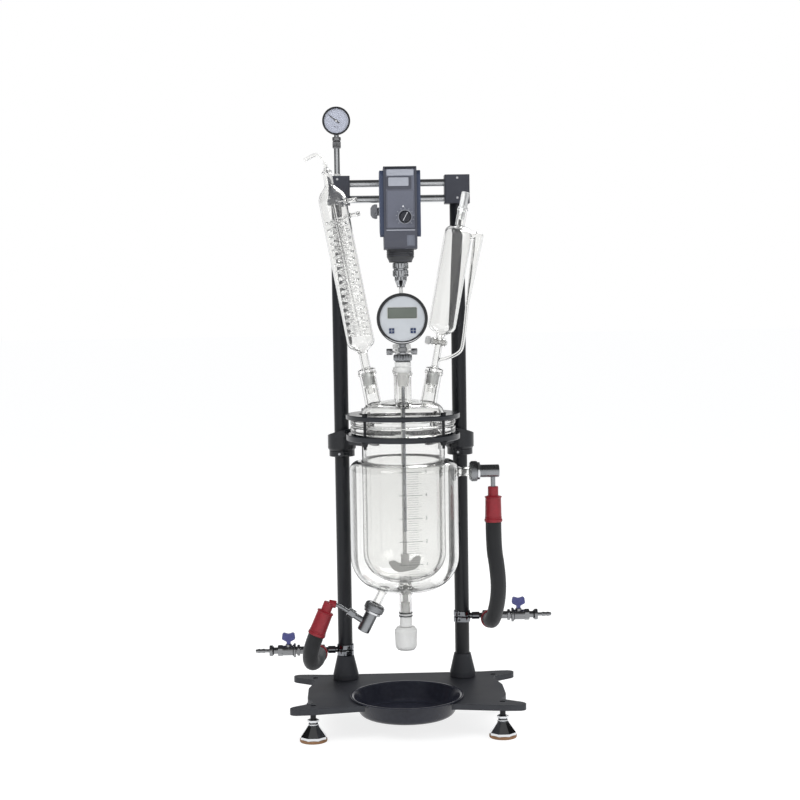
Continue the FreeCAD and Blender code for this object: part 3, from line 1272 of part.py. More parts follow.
keep("paddle", paddle)

# Stirring seal: a white plug in the middle neck, a clamped cap and two thumb screws
shaft_pass = s.shaft_radius + s.running_gap
plug = s.neck_bore - s.seat_gap
seal_top = s.seal_body_height
seal_body = turned("seal_body", [
    (shaft_pass, -24), (plug - 2, -24), (plug, -20), (plug, 0), (s.seal_flange_radius, 0, 1),
    (s.seal_flange_radius, 8, 1), (s.seal_body_radius, 10), (s.seal_body_radius, seal_top),
    (s.seal_cap_radius, seal_top, 1), (s.seal_cap_radius, seal_top + s.seal_cap_height, 2),
    (s.seal_body_radius - 4, seal_top + s.seal_cap_height + 3, 1), (shaft_pass, seal_top + s.seal_cap_height + 3)])
place(seal_body, 0, axis_y, s.neck_top)
screws = []
for side, sign in SIDES:
    screw = turned(f"{side}_seal_screw", [
        (0, s.seal_body_radius - 2), (2.5, s.seal_body_radius - 2), (2.5, s.seal_screw_reach - 7),
        (s.seal_screw_radius, s.seal_screw_reach - 6, 1), (s.seal_screw_radius, s.seal_screw_reach + 6, 3),
        (0, s.seal_screw_reach + 6)])
    screws.append(place(screw, 0, axis_y, s.neck_top + seal_top - 5, Y_AXIS, 90 * sign))
keep("shaft_seal", fused("shaft_seal", seal_body, *screws))

# Thermometer: round digital case on a stem, a star nut, a white adapter in the front neck, and the probe
neck_y = axis_y - s.front_neck_offset
case_back = s.case_depth - s.thermometer_front
floor = s.case_depth - s.face_recess
case = turned("thermometer_case_shell", [
    (0, 0), (s.case_radius - 8, 0, 3), (s.case_radius, 7, 5), (s.case_radius, s.case_depth, 2.5),
    (s.case_radius - s.bezel_width, s.case_depth, 1), (s.case_radius - s.bezel_width, floor), (0, floor)])
place(case, 0, case_back, s.thermometer_centre, X_AXIS, 90)
rooms = []
room_half = s.button_side / 2 + 0.2
for side, sign in SIDES:
    room = padded(f"{side}_button_room", rectangle(-room_half, -room_half, room_half, room_half, 0.8), 6)
    place(room, s.button_spacing / 2 * sign, case_back - floor + 3, s.thermometer_centre - s.button_drop, X_AXIS, 90)
    rooms.append(room)
stem_top = s.thermometer_centre - s.case_radius + 4
stem_socket = cylinder("stem_socket", 7 + s.seat_gap, 12)
rooms.append(place(stem_socket, 0, neck_y, stem_top - 12 + s.seat_gap))
keep("thermometer_case", cut("thermometer_case", case, *rooms))
button_half = s.button_side / 2
for side, sign in SIDES:
    button = padded(f"{side}_button", rectangle(-button_half, -button_half, button_half, button_half, 0.6),
                    s.button_depth)
    button_y = case_back - floor - s.button_rise + s.button_depth
    place(button, s.button_spacing / 2 * sign, button_y, s.thermometer_centre - s.button_drop, X_AXIS, 90)
    keep(f"thermometer_button_{side}", button)
nut_bottom = s.neck_top + s.adapter_height
star_top = nut_bottom + s.star_nut_height
probe_rod = turned("probe_rod", [
    (0, s.probe_bottom), (s.probe_radius, s.probe_bottom, 1.5), (s.probe_radius, nut_bottom),
    (s.star_nut_radius - 4, nut_bottom), (s.star_nut_radius, nut_bottom + 5, 2),
    (s.star_nut_radius, star_top, 3), (7, star_top), (7, stem_top), (0, stem_top)])
place(probe_rod, 0, neck_y, 0)
star_cuts = []
for k in range(8):
    star_cut = cylinder(f"star_cut_{k}", 4.2, s.star_nut_height + 2)
    turn = math.radians(45 * k + 22.5)
    reach = s.star_nut_radius + 2.2
    place(star_cut, reach * math.cos(turn), neck_y + reach * math.sin(turn), nut_bottom - 1)
    star_cuts.append(star_cut)
probe_hex = hex_nut("probe_hex", s.probe_nut_radius, 9)
place(probe_hex, 0, neck_y, star_top + 5)
keep("thermometer_probe", fused("thermometer_probe", cut("star_nut", probe_rod, *star_cuts), probe_hex))
adapter = turned("probe_adapter", [
    (s.probe_radius + s.seat_gap, -28), (s.neck_bore - 3, -28), (s.neck_bore - s.seat_gap, -2),
    (s.neck_bore - s.seat_gap, 0), (s.adapter_body_radius, 0), (s.adapter_body_radius, s.adapter_height - 10, 1),
    (s.adapter_rim_radius, s.adapter_height - 9, 1), (s.adapter_rim_radius, s.adapter_height, 1),
    (s.probe_radius + s.seat_gap, s.adapter_height)])
keep("probe_adapter", place(adapter, 0, neck_y, s.neck_top))

# Condenser: leaning glass jacket round a coil, with a plug in the left neck and a bent gas outlet on top
condenser_axis = (-s.condenser_offset, axis_y, s.tilted_neck_base, -s.condenser_tilt)
wall = s.condenser_wall
plug_end = s.tilted_neck_length
tube = s.condenser_tube_radius
cone = s.neck_bore - s.seat_gap - 0.1
shell = turned("condenser_shell", [
    (tube - wall, 16), (tube, 16), (tube, 28), (cone, 34), (cone, plug_end), (s.neck_rim_radius - 1, plug_end + 0.1, 1),
    (s.neck_rim_radius - 1, plug_end + 6, 1), (tube, plug_end + 9, 3), (tube, s.condenser_start - 12, 8),
    (s.condenser_radius, s.condenser_start + 4, 16), (s.condenser_radius, s.condenser_end + 26, 30),
    (s.condenser_neck_radius, s.condenser_end + 46, 10), (s.condenser_neck_radius, s.condenser_neck_end),
    (s.condenser_neck_radius + 1.5, s.condenser_neck_end + 0.6, 0.6),
    (s.condenser_neck_radius + 1.5, s.condenser_neck_end + 4, 1),
    (s.condenser_neck_radius - 3, s.condenser_neck_end + 8, 1.5), (s.outlet_tube_radius, s.condenser_neck_end + 13, 2),
    (s.outlet_tube_radius, s.condenser_neck_end + 18),
    (s.outlet_tube_radius - 1.5, s.condenser_neck_end + 18), (s.outlet_tube_radius - 1.5, s.condenser_end + 46),
    (s.condenser_neck_radius - wall, s.condenser_end + 44), (s.condenser_radius - wall, s.condenser_end + 24, 26),
    (s.condenser_radius - wall, s.condenser_start + 6, 14), (tube - wall, s.condenser_start - 8, 6)])
tilted(shell, *condenser_axis)
nipples = []
for label, height in (("upper", s.nipple_upper), ("lower", s.nipple_lower)):
    nipple = turned(f"{label}_nipple", [
        (0, 22), (s.nipple_radius + 2, 22), (s.nipple_radius, 31, 3), (s.nipple_radius, s.nipple_reach - 6),
        (s.nipple_radius + 0.8, s.nipple_reach - 6), (s.nipple_radius + 0.8, s.nipple_reach - 4),
        (s.nipple_radius - 0.4, s.nipple_reach), (0, s.nipple_reach)])
    root = along(*condenser_axis, height)
    nipples.append(tilted(nipple, root.x, root.y, root.z, 90 - s.condenser_tilt.number))
outlet_root = along(*condenser_axis, s.condenser_neck_end + 17)
outlet_points = [outlet_root, along(*condenser_axis, s.condenser_neck_end + 26), Vector(-162, front, 1213.5),
                 Vector(-173.5, front, 1220.5), Vector(-196, front, 1206)]
outlet_shape, wire, used = swept(outlet_points, s.outlet_tube_radius.number, 0.4)
outlet_bend = shape_piece("gas_outlet_bend", outlet_shape)
inside = turned("condenser_inside", [
    (0, s.condenser_start + 8), (s.condenser_radius - wall - 0.5, s.condenser_start + 14, 10),
    (s.condenser_radius - wall - 0.5, s.condenser_end + 10, 10), (0, s.condenser_end + 16)])
tilted(inside, *condenser_axis)
keep("condenser", cut("condenser", fused("condenser_glass", shell, outlet_bend, *nipples), inside))

# Condenser coil: a glass helix inside the jacket with a straight return tube, fused to both nipples
coil_height = s.coil_pitch * 17
helix = doc.addObject("Part::Helix", "coil_path")
bind(helix, Pitch=s.coil_pitch, Height=coil_height, Radius=s.coil_radius)
coil_ring = doc.addObject("Part::Circle", "coil_section")
bind(coil_ring, Radius=s.coil_tube_radius)
place(coil_ring, x=s.coil_radius, axis=X_AXIS, angle=90)
coil = doc.addObject("Part::Sweep", "coil_sweep")
coil.Sections = [coil_ring]
coil.Spine = (helix, ["Edge1"])
coil.Solid = True
coil.Frenet = True
return_height = coil_height + s.nipple_upper - s.nipple_lower
link_reach = s.condenser_radius - s.condenser_wall + 0.5
lower_link = cylinder("coil_lower_link", s.coil_tube_radius, s.coil_radius)
place(lower_link, axis=Y_AXIS, angle=90)
return_tube = cylinder("coil_return_tube", s.coil_tube_radius, return_height)
side_link = cylinder("coil_side_link", s.coil_tube_radius, link_reach - s.coil_radius)
place(side_link, s.coil_radius, 0, coil_height, Y_AXIS, 90)
upper_link = cylinder("coil_upper_link", s.coil_tube_radius, link_reach)
place(upper_link, 0, 0, return_height, Y_AXIS, 90)
coil_with_links = fused("condenser_coil", coil, lower_link, return_tube, side_link, upper_link)
keep("condenser_coil", tilted(coil_with_links, *condenser_axis, s.nipple_lower - coil_height))

# Dropping funnel: leaning glass bulb with a stopcock below and a pressure arm down its outer side
funnel_axis = (s.funnel_offset, axis_y, s.tilted_neck_base, s.funnel_tilt)
wall = s.funnel_wall
tube = s.funnel_tube_radius
bulb = turned("funnel_bulb", [
    (tube - wall, 16), (tube, 16), (tube, 28), (cone, 34), (cone, plug_end), (s.neck_rim_radius - 1, plug_end + 0.1, 1),
    (s.neck_rim_radius - 1, plug_end + 6, 1), (tube, plug_end + 9, 3), (tube, s.funnel_start - 10, 8),
    (s.funnel_radius, s.funnel_start + 2, 17), (s.funnel_radius, s.funnel_end, 15),
    (s.funnel_neck_radius, s.funnel_end + 3, 3), (s.funnel_neck_radius, s.funnel_neck_end - 4, 1),
    (s.funnel_neck_radius + 1.5, s.funnel_neck_end - 2, 1), (s.funnel_neck_radius + 1.5, s.funnel_neck_end),
    (s.funnel_neck_radius - wall, s.funnel_neck_end), (s.funnel_neck_radius - wall, s.funnel_end, 2),
    (s.funnel_radius - wall, s.funnel_end - wall, 13), (s.funnel_radius - wall, s.funnel_start + 4, 15),
    (tube - wall, s.funnel_start - 7, 5)])
tilted(bulb, *funnel_axis)
cock_root = along(*funnel_axis, s.cock_height)
cock_angle = s.funnel_tilt.number - 90
barrel = turned("cock_barrel", rectangle(0, -s.cock_length / 2, s.cock_radius, s.cock_length / 2, 1.5))
tilted(barrel, cock_root.x, cock_root.y, cock_root.z, cock_angle)
key_bore = cylinder("key_bore", s.key_radius + s.running_gap, s.cock_length + 2)
tilted(key_bore, cock_root.x, cock_root.y, cock_root.z, cock_angle, -s.cock_length / 2 - 1)
arm_top = Vector(163.5, front, 1045)
arm_foot = Vector(138.5, front, 905)
arm_cone = shape_piece("arm_cone", Part.makeCone(
    s.arm_top_radius.number, s.arm_radius.number, (arm_foot - arm_top).Length, arm_top, arm_foot - arm_top))
arm_cap = shape_piece("arm_cap", Part.makeSphere(s.arm_top_radius.number, arm_top))
arm_root = along(*funnel_axis, s.funnel_end - 12)
arm_neck = shape_piece("arm_neck", Part.makeCylinder(
    8, (arm_top - arm_root).Length, arm_root, arm_top - arm_root))
arm_bottom_point = along(*funnel_axis, 84)
arm_points = [arm_foot, Vector(131, front, 833), Vector(122, front, 795), arm_bottom_point]
arm_shape, wire, used = swept(arm_points, s.arm_radius.number, 0.42)
arm_bend = shape_piece("arm_bend", arm_shape)
room = turned("funnel_inside", [
    (0, s.funnel_start + 6), (s.funnel_radius - wall - 0.5, s.funnel_start + 12, 8),
    (s.funnel_radius - wall - 0.5, s.funnel_end - wall - 6, 8), (0, s.funnel_end - wall - 3)])
tilted(room, *funnel_axis)
funnel_glass = fused("funnel_glass", bulb, barrel, arm_cone, arm_cap, arm_neck, arm_bend)
keep("dropping_funnel", cut("dropping_funnel", funnel_glass, room, key_bore))
key = turned("key_body", [
    (0, -s.cock_length / 2 - 4), (s.key_radius - 1, -s.cock_length / 2 - 4, 1), (s.key_radius - 1, -s.cock_length / 2 - 1),
    (s.key_radius, -s.cock_length / 2 - 1), (s.key_radius, s.cock_length / 2 + s.face_gap),
    (s.key_radius + 2, s.cock_length / 2 + s.face_gap), (s.key_radius + 2, s.cock_length / 2 + 4, 1),
    (0, s.cock_length / 2 + 4)])
key_start = s.cock_length / 2 + 3
paddle_blank = padded("key_paddle", [
    (-3, key_start), (3, key_start), (9, key_start + 4, 3), (8, key_start + s.key_handle_length, 5),
    (-8, key_start + s.key_handle_length, 5), (-9, key_start + 4, 3)], 5)
place(paddle_blank, 0, 2.5, 0, X_AXIS, 90)
key_paddle = fused("funnel_key", key, paddle_blank)
keep("funnel_key", tilted(key_paddle, cock_root.x, cock_root.y, cock_root.z, cock_angle))


def stopper(name, plug_radius):
    """A stopper that stands on a neck's rim: a plug below and a tall round head above."""
    plug = turned(name + "_plug", [
        (0, -s.stopper_plug), (plug_radius - 1.5, -s.stopper_plug, 1), (plug_radius, 0),
        (s.stopper_radius, s.face_gap), (s.stopper_radius, 4, 1), (s.stopper_head_radius, 5.5, 0.8),
        (s.stopper_head_radius, s.stopper_height, 2.5), (0, s.stopper_height)])
    return plug


funnel_plug = s.funnel_neck_radius - wall - s.running_gap
keep("funnel_stopper", tilted(stopper("funnel_stopper", funnel_plug), *funnel_axis, s.funnel_neck_end))
back_plug = s.neck_bore - s.running_gap
back_stopper = turned("back_stopper", [
    (0, -26), (back_plug - 2, -26, 1), (back_plug, 0), (s.neck_rim_radius - 1, s.face_gap),
    (s.neck_rim_radius - 1, 5, 1), (8, 8, 3), (8, 14, 3), (14, 20, 4), (13, 30, 5), (0, 30)])
keep("back_stopper", place(back_stopper, 0, axis_y + s.back_neck_offset, s.neck_top))

doc.recompute()

# Every object has to be sound before anything is written
faults = []
for feature in doc.Objects:
    if "Invalid" in feature.State or "Error" in feature.State:
        faults.append(f"{feature.Name}: {feature.State}")
for label, piece in pieces.items():
    if piece.Shape.isNull() or not piece.Shape.isValid() or not piece.Shape.Solids:
        faults.append(f"{label}: no sound solid")
if faults:
    raise RuntimeError("faults: " + "; ".join(faults))

os.makedirs("parts", exist_ok=True)
for label, piece in pieces.items():
    piece.Shape.exportStep(f"parts/{label}.step")
print(f"{len(pieces)} sub-parts written")
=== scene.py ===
import bpy
import bmesh
import math
from mathutils import Matrix, Vector


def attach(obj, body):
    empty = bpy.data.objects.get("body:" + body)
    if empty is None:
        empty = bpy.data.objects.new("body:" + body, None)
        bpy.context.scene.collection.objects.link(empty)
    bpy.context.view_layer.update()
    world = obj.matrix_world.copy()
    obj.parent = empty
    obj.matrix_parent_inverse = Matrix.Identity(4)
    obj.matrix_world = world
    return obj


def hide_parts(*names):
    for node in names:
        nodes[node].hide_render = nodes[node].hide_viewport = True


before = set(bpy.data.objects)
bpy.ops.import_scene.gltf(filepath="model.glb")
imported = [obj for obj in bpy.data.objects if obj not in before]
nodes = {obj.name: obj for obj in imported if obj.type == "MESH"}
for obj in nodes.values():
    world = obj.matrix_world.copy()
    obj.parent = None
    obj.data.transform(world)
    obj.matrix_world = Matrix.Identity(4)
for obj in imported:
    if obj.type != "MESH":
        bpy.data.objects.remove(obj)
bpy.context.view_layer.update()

# Studio: the reactor stands on a pale floor before a white ground, seen from the front
# at the height of its lid. Broad soft lamps light it, and the glass and metal see the
# same white ground, with darker flanks that draw their edges.


def linear(code):
    """The linear colour of an sRGB hex value."""
    parts = [int(code[k:k + 2], 16) / 255 for k in (1, 3, 5)]
    return [p / 12.92 if p <= 0.04045 else ((p + 0.055) / 1.055) ** 2.4 for p in parts] + [1.0]


def add_node(tree, kind, links=None, **settings):
    """Adds a node; links gives its inputs, each a socket to join or a plain value."""
    node = tree.nodes.new(kind)
    for key, value in settings.items():
        setattr(node, key, value)
    for key, value in (links or {}).items():
        if isinstance(value, bpy.types.NodeSocket):
            tree.links.new(value, node.inputs[key])
        else:
            node.inputs[key].default_value = value
    return node


eye = Vector((-0.1004, -3.3796, 0.9366))
yaw, pitch, roll = math.radians(1.633), math.radians(3.96), math.radians(-0.87)
ahead = Vector((math.sin(yaw) * math.cos(pitch), math.cos(yaw) * math.cos(pitch), -math.sin(pitch)))
level = Vector((math.cos(yaw), -math.sin(yaw), 0))
upright = level.cross(ahead)
right = level * math.cos(roll) + upright * math.sin(roll)
up = upright * math.cos(roll) - level * math.sin(roll)
turn = Matrix((right, up, -ahead)).transposed().to_4x4()
lens = bpy.data.cameras.new("camera")
lens.lens = 71.77
lens.sensor_width = 36
camera = bpy.data.objects.new("camera", lens)
camera.matrix_world = Matrix.Translation(eye) @ turn
bpy.context.collection.objects.link(camera)
bpy.context.scene.camera = camera
bpy.context.scene.view_settings.view_transform = "Standard"

sky = bpy.data.worlds.new("studio")
bpy.context.scene.world = sky
sky.use_nodes = True
tree = sky.node_tree
tree.nodes.clear()
path = add_node(tree, "ShaderNodeLightPath")
heading = add_node(tree, "ShaderNodeTexCoord").outputs["Generated"]
split = add_node(tree, "ShaderNodeSeparateXYZ", {0: heading})
flank = add_node(tree, "ShaderNodeMath", {0: split.outputs["X"]}, operation="ABSOLUTE").outputs[0]
sides_seen = add_node(tree, "ShaderNodeMapRange", {"Value": flank, "From Min": 0.5, "From Max": 0.8,
                                                   "To Min": 1.0, "To Max": 0.12}).outputs[0]
height_seen = split.outputs["Z"]
ceiling = add_node(tree, "ShaderNodeMapRange", {"Value": height_seen, "From Min": 0.22, "From Max": 0.45,
                                                "To Min": 1.0, "To Max": 0.08}).outputs[0]
below = add_node(tree, "ShaderNodeMapRange", {"Value": height_seen, "From Min": -0.5, "From Max": -0.1,
                                              "To Min": 0.5, "To Max": 1.0}).outputs[0]
seen = add_node(tree, "ShaderNodeMath", {0: sides_seen, 1: ceiling}, operation="MULTIPLY").outputs[0]
seen = add_node(tree, "ShaderNodeMath", {0: seen, 1: below}, operation="MULTIPLY").outputs[0]
mirrored = add_node(tree, "ShaderNodeBackground", {"Strength": seen, "Color": linear("#ffffff")}).outputs[0]
ground = add_node(tree, "ShaderNodeBackground", {"Strength": 1.0, "Color": linear("#ffffff")}).outputs[0]
bent = add_node(tree, "ShaderNodeMapRange", {"Value": flank, "From Min": 0.55, "From Max": 0.92,
                                             "To Min": 1.0, "To Max": 0.3}).outputs[0]
refracted = add_node(tree, "ShaderNodeBackground", {"Strength": bent, "Color": linear("#ffffff")}).outputs[0]
soft = add_node(tree, "ShaderNodeBackground", {"Strength": 0.62, "Color": linear("#f6f8fb")}).outputs[0]
gloss = add_node(tree, "ShaderNodeMixShader",
                 {0: path.outputs["Is Glossy Ray"], 1: soft, 2: mirrored}).outputs[0]
through = add_node(tree, "ShaderNodeMixShader",
                   {0: path.outputs["Is Transmission Ray"], 1: gloss, 2: refracted})
plain = add_node(tree, "ShaderNodeMixShader",
                 {0: path.outputs["Is Camera Ray"], 1: through.outputs[0], 2: ground})
add_node(tree, "ShaderNodeOutputWorld", {0: plain.outputs[0]})

aim = Vector((0, 0, 0.65))
for name, where, size, power in (("key", (-1.9, -2.2, 2.9), 1.8, 60), ("fill", (2.3, -1.8, 1.6), 1.6, 26),
                                 ("rim", (0.9, 2.2, 2.4), 1.4, 40)):
    lamp = bpy.data.lights.new(name, "AREA")
    lamp.size = size
    lamp.energy = power
    holder = bpy.data.objects.new(name, lamp)
    towards = (aim - Vector(where)).to_track_quat("-Z", "Y")
    holder.matrix_world = Matrix.Translation(where) @ towards.to_matrix().to_4x4()
    holder.visible_glossy = False
    bpy.context.collection.objects.link(holder)

# Floor: a matt pale sheet that keeps a faint shadow under the stand. Seen directly or in
# glass and metal it is nearly white, so it runs into the ground behind it.
floor_mesh = bpy.data.meshes.new("floor")
floor_mesh.from_pydata([(-30, -30, 0), (30, -30, 0), (30, 30, 0), (-30, 30, 0)], [], [(0, 1, 2, 3)])
floor = bpy.data.objects.new("floor", floor_mesh)
bpy.context.collection.objects.link(floor)
paper = bpy.data.materials.new("matt_white_paper")
paper.use_nodes = True
tree = paper.node_tree
tree.nodes.clear()
path = add_node(tree, "ShaderNodeLightPath")
matt = add_node(tree, "ShaderNodeBsdfDiffuse", {"Color": linear("#f7f7f7")}).outputs[0]
glow = add_node(tree, "ShaderNodeEmission", {"Color": linear("#ffffff"), "Strength": 0.8}).outputs[0]
grey = add_node(tree, "ShaderNodeBsdfDiffuse", {"Color": linear("#9c9c9c")}).outputs[0]
lit = add_node(tree, "ShaderNodeAddShader", {0: glow, 1: grey}).outputs[0]
direct = add_node(tree, "ShaderNodeMath",
                  {0: path.outputs["Is Camera Ray"], 1: path.outputs["Is Glossy Ray"]},
                  operation="MAXIMUM").outputs[0]
direct = add_node(tree, "ShaderNodeMath", {0: direct, 1: path.outputs["Is Transmission Ray"]},
                  operation="MAXIMUM").outputs[0]
floor_look = add_node(tree, "ShaderNodeMixShader", {0: direct, 1: matt, 2: lit}).outputs[0]
add_node(tree, "ShaderNodeOutputMaterial", {0: floor_look})
floor_mesh.materials.append(paper)

# Base plate: laser-cut steel sheet, powder coated black. The coat has a fine orange-peel
# grain and its edges are slightly rounded, so they catch the light.


def surface(name, tone, mottle, grain, relief, gloss, metallic=0.0, run=(1, 1, 1), edge=0.0, **sockets):
    """A finish: two tones and a roughness range mixed by a grain in mm, with its relief in mm along a run."""
    # Grains finer than 0.8 mm wouldn't show in the picture, so they are drawn that coarse
    material = bpy.data.materials.new(name)
    material.use_nodes = True
    tree = material.node_tree
    shader = tree.nodes["Principled BSDF"]
    coords = add_node(tree, "ShaderNodeTexCoord").outputs["Object"]
    mapped = add_node(tree, "ShaderNodeMapping", {"Vector": coords, "Scale": run}).outputs[0]
    fine = add_node(tree, "ShaderNodeTexNoise",
                    {"Vector": mapped, "Scale": 1000 / grain, "Detail": 3.0}).outputs[0]
    broad = add_node(tree, "ShaderNodeTexNoise", {"Vector": coords, "Scale": 17.0, "Detail": 4.0}).outputs[0]
    blend = add_node(tree, "ShaderNodeMath", {0: fine, 1: broad}, operation="ADD").outputs[0]
    share = add_node(tree, "ShaderNodeMapRange",
                     {"Value": blend, "From Min": 0.6, "From Max": 1.4}).outputs[0]
    colour = add_node(tree, "ShaderNodeMix", {0: share, 6: linear(tone), 7: linear(mottle)}, data_type="RGBA")
    rough = add_node(tree, "ShaderNodeMapRange", {"Value": blend, "From Min": 0.6, "From Max": 1.4,
                                                  "To Min": gloss[0], "To Max": gloss[1]}).outputs[0]
    tree.links.new(colour.outputs[2], shader.inputs["Base Color"])
    tree.links.new(rough, shader.inputs["Roughness"])
    links = {"Height": fine, "Strength": 1.0, "Distance": relief / 1000}
    if edge:
        links["Normal"] = add_node(tree, "ShaderNodeBevel", {"Radius": edge / 1000}, samples=4).outputs[0]
    bump = add_node(tree, "ShaderNodeBump", links)
    tree.links.new(bump.outputs[0], shader.inputs["Normal"])
    shader.inputs["Metallic"].default_value = metallic
    for key, value in sockets.items():
        shader.inputs[key.replace("_", " ")].default_value = value
    return material


def dress(material, *names):
    """Gives CAD nodes a finish."""
    for name in names:
        for slot in nodes[name].material_slots:
            slot.material = material


powder_coat = surface("black_powder_coat", "#2b2c30", "#3a3c41", 0.9, 0.02, (0.46, 0.6), edge=1.2,
                      Specular_IOR_Level=0.35)
dress(powder_coat, "base_plate")

# Drip pan: spun steel dish in gloss black enamel. Its rim is rolled over and rests on
# the plate, and the enamel is thin and smooth, so it mirrors the stand softly.


def rounded(corners, steps):
    """Points of a closed outline whose corners are (radius, height) or (radius, height, rounding), in mm."""
    points = []
    count = len(corners)
    for k, corner in enumerate(corners):
        here = Vector(corner[:2])
        bend = corner[2] if len(corner) > 2 else 0
        if not bend:
            points.append(here)
            continue
        before = (Vector(corners[k - 1][:2]) - here).normalized()
        after = (Vector(corners[(k + 1) % count][:2]) - here).normalized()
        half = before.angle(after) / 2
        middle = here + (before + after).normalized() * (bend / math.sin(half))
        first = here + before * (bend / math.tan(half)) - middle
        last = here + after * (bend / math.tan(half)) - middle
        sweep = first.angle_signed(last)
        for step in range(steps + 1):
            turned_by = -sweep * step / steps
            cosine, sine = math.cos(turned_by), math.sin(turned_by)
            points.append(middle + Vector((first.x * cosine - first.y * sine,
                                           first.x * sine + first.y * cosine)))
    return points


def mesh_object(name, mesh, material=None):
    """A piece of the scene at the origin, with its place in its mesh."""
    piece = bpy.data.objects.new(name, mesh)
    bpy.context.collection.objects.link(piece)
    if material:
        mesh.materials.clear()
        mesh.materials.append(material)
    return piece


def settle(shape, name, place, sharp=32):
    """Closes a bmesh, turns its faces outwards, moves it to its place and shades it."""
    bmesh.ops.remove_doubles(shape, verts=shape.verts, dist=1e-6)
    bmesh.ops.recalc_face_normals(shape, faces=shape.faces)
    shape.transform(place)
    mesh = bpy.data.meshes.new(name)
    shape.to_mesh(mesh)
    shape.free()
    mesh.shade_smooth()
    mesh.set_sharp_from_angle(angle=math.radians(sharp))
    return mesh


def lathe(name, corners, place, steps=6, sides=96, grooves=None):
    """A solid turned about Z from an outline in mm; grooves are its flutes: (count, depth, low, high)."""
    outline = rounded(corners, steps)
    shape = bmesh.new()
    rings = []
    for point in outline:
        radius, height = point.x / 1000, point.y / 1000
        if radius < 1e-6:
            rings.append([shape.verts.new((0, 0, height))] * sides)
            continue
        rings.append([])
        for k in range(sides):
            angle = math.tau * k / sides
            reach = radius
            if grooves and grooves[2] <= point.y <= grooves[3]:
                reach -= grooves[1] / 1000 * (0.5 + 0.5 * math.cos(grooves[0] * angle)) ** 2
            rings[-1].append(shape.verts.new((reach * math.cos(angle), reach * math.sin(angle), height)))
    for low, high in zip(rings, rings[1:] + rings[:1]):
        for k in range(sides):
            corner = [low[k], low[(k + 1) % sides], high[(k + 1) % sides], high[k]]
            corner = [v for n, v in enumerate(corner) if v not in corner[:n]]
            if len(corner) > 2:
                shape.faces.new(corner)
    return settle(shape, name, place)


def at(x, y, z, tilt=0.0, slide=0.0):
    """A place in mm: a point, leaning by an angle from Z towards X, then a slide along the leaning axis."""
    lean = Matrix.Translation(Vector((x, y, z)) / 1000) @ Matrix.Rotation(math.radians(tilt), 4, "Y")
    return lean @ Matrix.Translation((0, 0, slide / 1000))


def turned(name, corners, place, material, body, steps=6, sides=96, grooves=None):
    """A turned piece of one finish that moves with a body."""
    piece = mesh_object(name, lathe(name, corners, place, steps, sides, grooves), material)
    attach(piece, body)
    return piece


vessel_y = -46
enamel = surface("black_enamel", "#20212a", "#2a2c35", 9.0, 0.05, (0.14, 0.26), edge=0.6,
                 Specular_IOR_Level=0.32)
pan = turned("pan_dish", [
    (0, -38), (99, -38, 16), (114.5, 1.2, 1), (117, 0.2, 1), (120, 1, 1.3), (120, 4.2, 1.4),
    (116.5, 4.2, 1.4), (113, 2.4, 1), (97.5, -36.5, 14.5), (0, -36.5)],
    at(0, vessel_y, 75.3), enamel, "drip_pan", sides=160)
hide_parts("drip_pan")

# Posts and sockets: drawn steel tube in satin black paint, pushed into turned steel cones
# that are bolted to the plate from below. The paint's grain is drawn out along the tube,
# so its soft highlight runs the length of the post.
satin_paint = surface("black_satin_paint", "#131519", "#1b1d22", 1.6, 0.012, (0.3, 0.4), run=(1, 1, 0.15),
                      Specular_IOR_Level=0.35)
dress(satin_paint, "left_post", "right_post")
dress(powder_coat, "post_sockets")

# Levelling feet: a chromed pressed cup with eight flats, a hexagon and a blackened stud in
# a boss under the plate, on a tan felt-like pad. Chrome mirrors the ground in hard-edged
# bands, blackened steel is a dull dark grey, and the pad is rough and takes no highlight.
chrome = surface("polished_chrome", "#d4d6d9", "#e4e5e7", 24.0, 0.01, (0.05, 0.12), metallic=1.0, edge=0.5)
blackened = surface("blackened_steel", "#1b1c1e", "#2b2c2f", 1.2, 0.02, (0.34, 0.48), metallic=0.6, edge=0.4)
felt = surface("tan_felt_pad", "#7d5b41", "#9b7757", 0.9, 0.12, (0.8, 0.95))


def skinned(shape, rings):
    """Joins rings of points into a closed skin, with a flat face at each end."""
    sides = len(rings[0])
    for low, high in zip(rings, rings[1:]):
        for k in range(sides):
            shape.faces.new((low[k], low[(k + 1) % sides], high[(k + 1) % sides], high[k]))
    shape.faces.new(rings[0][::-1])
    shape.faces.new(rings[-1])


def faceted(name, sides, outline, place, material, body, twist=0.0):
    """A piece with flats that moves with a body: each outline point is (corner radius, height) in mm."""
    shape = bmesh.new()
    rings = [[shape.verts.new((radius / 1000 * math.cos(math.tau * (k + twist) / sides),
                               radius / 1000 * math.sin(math.tau * (k + twist) / sides), height / 1000))
              for k in range(sides)] for radius, height in outline]
    skinned(shape, rings)
    piece = mesh_object(name, settle(shape, name, place, 20), material)
    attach(piece, body)
    return piece


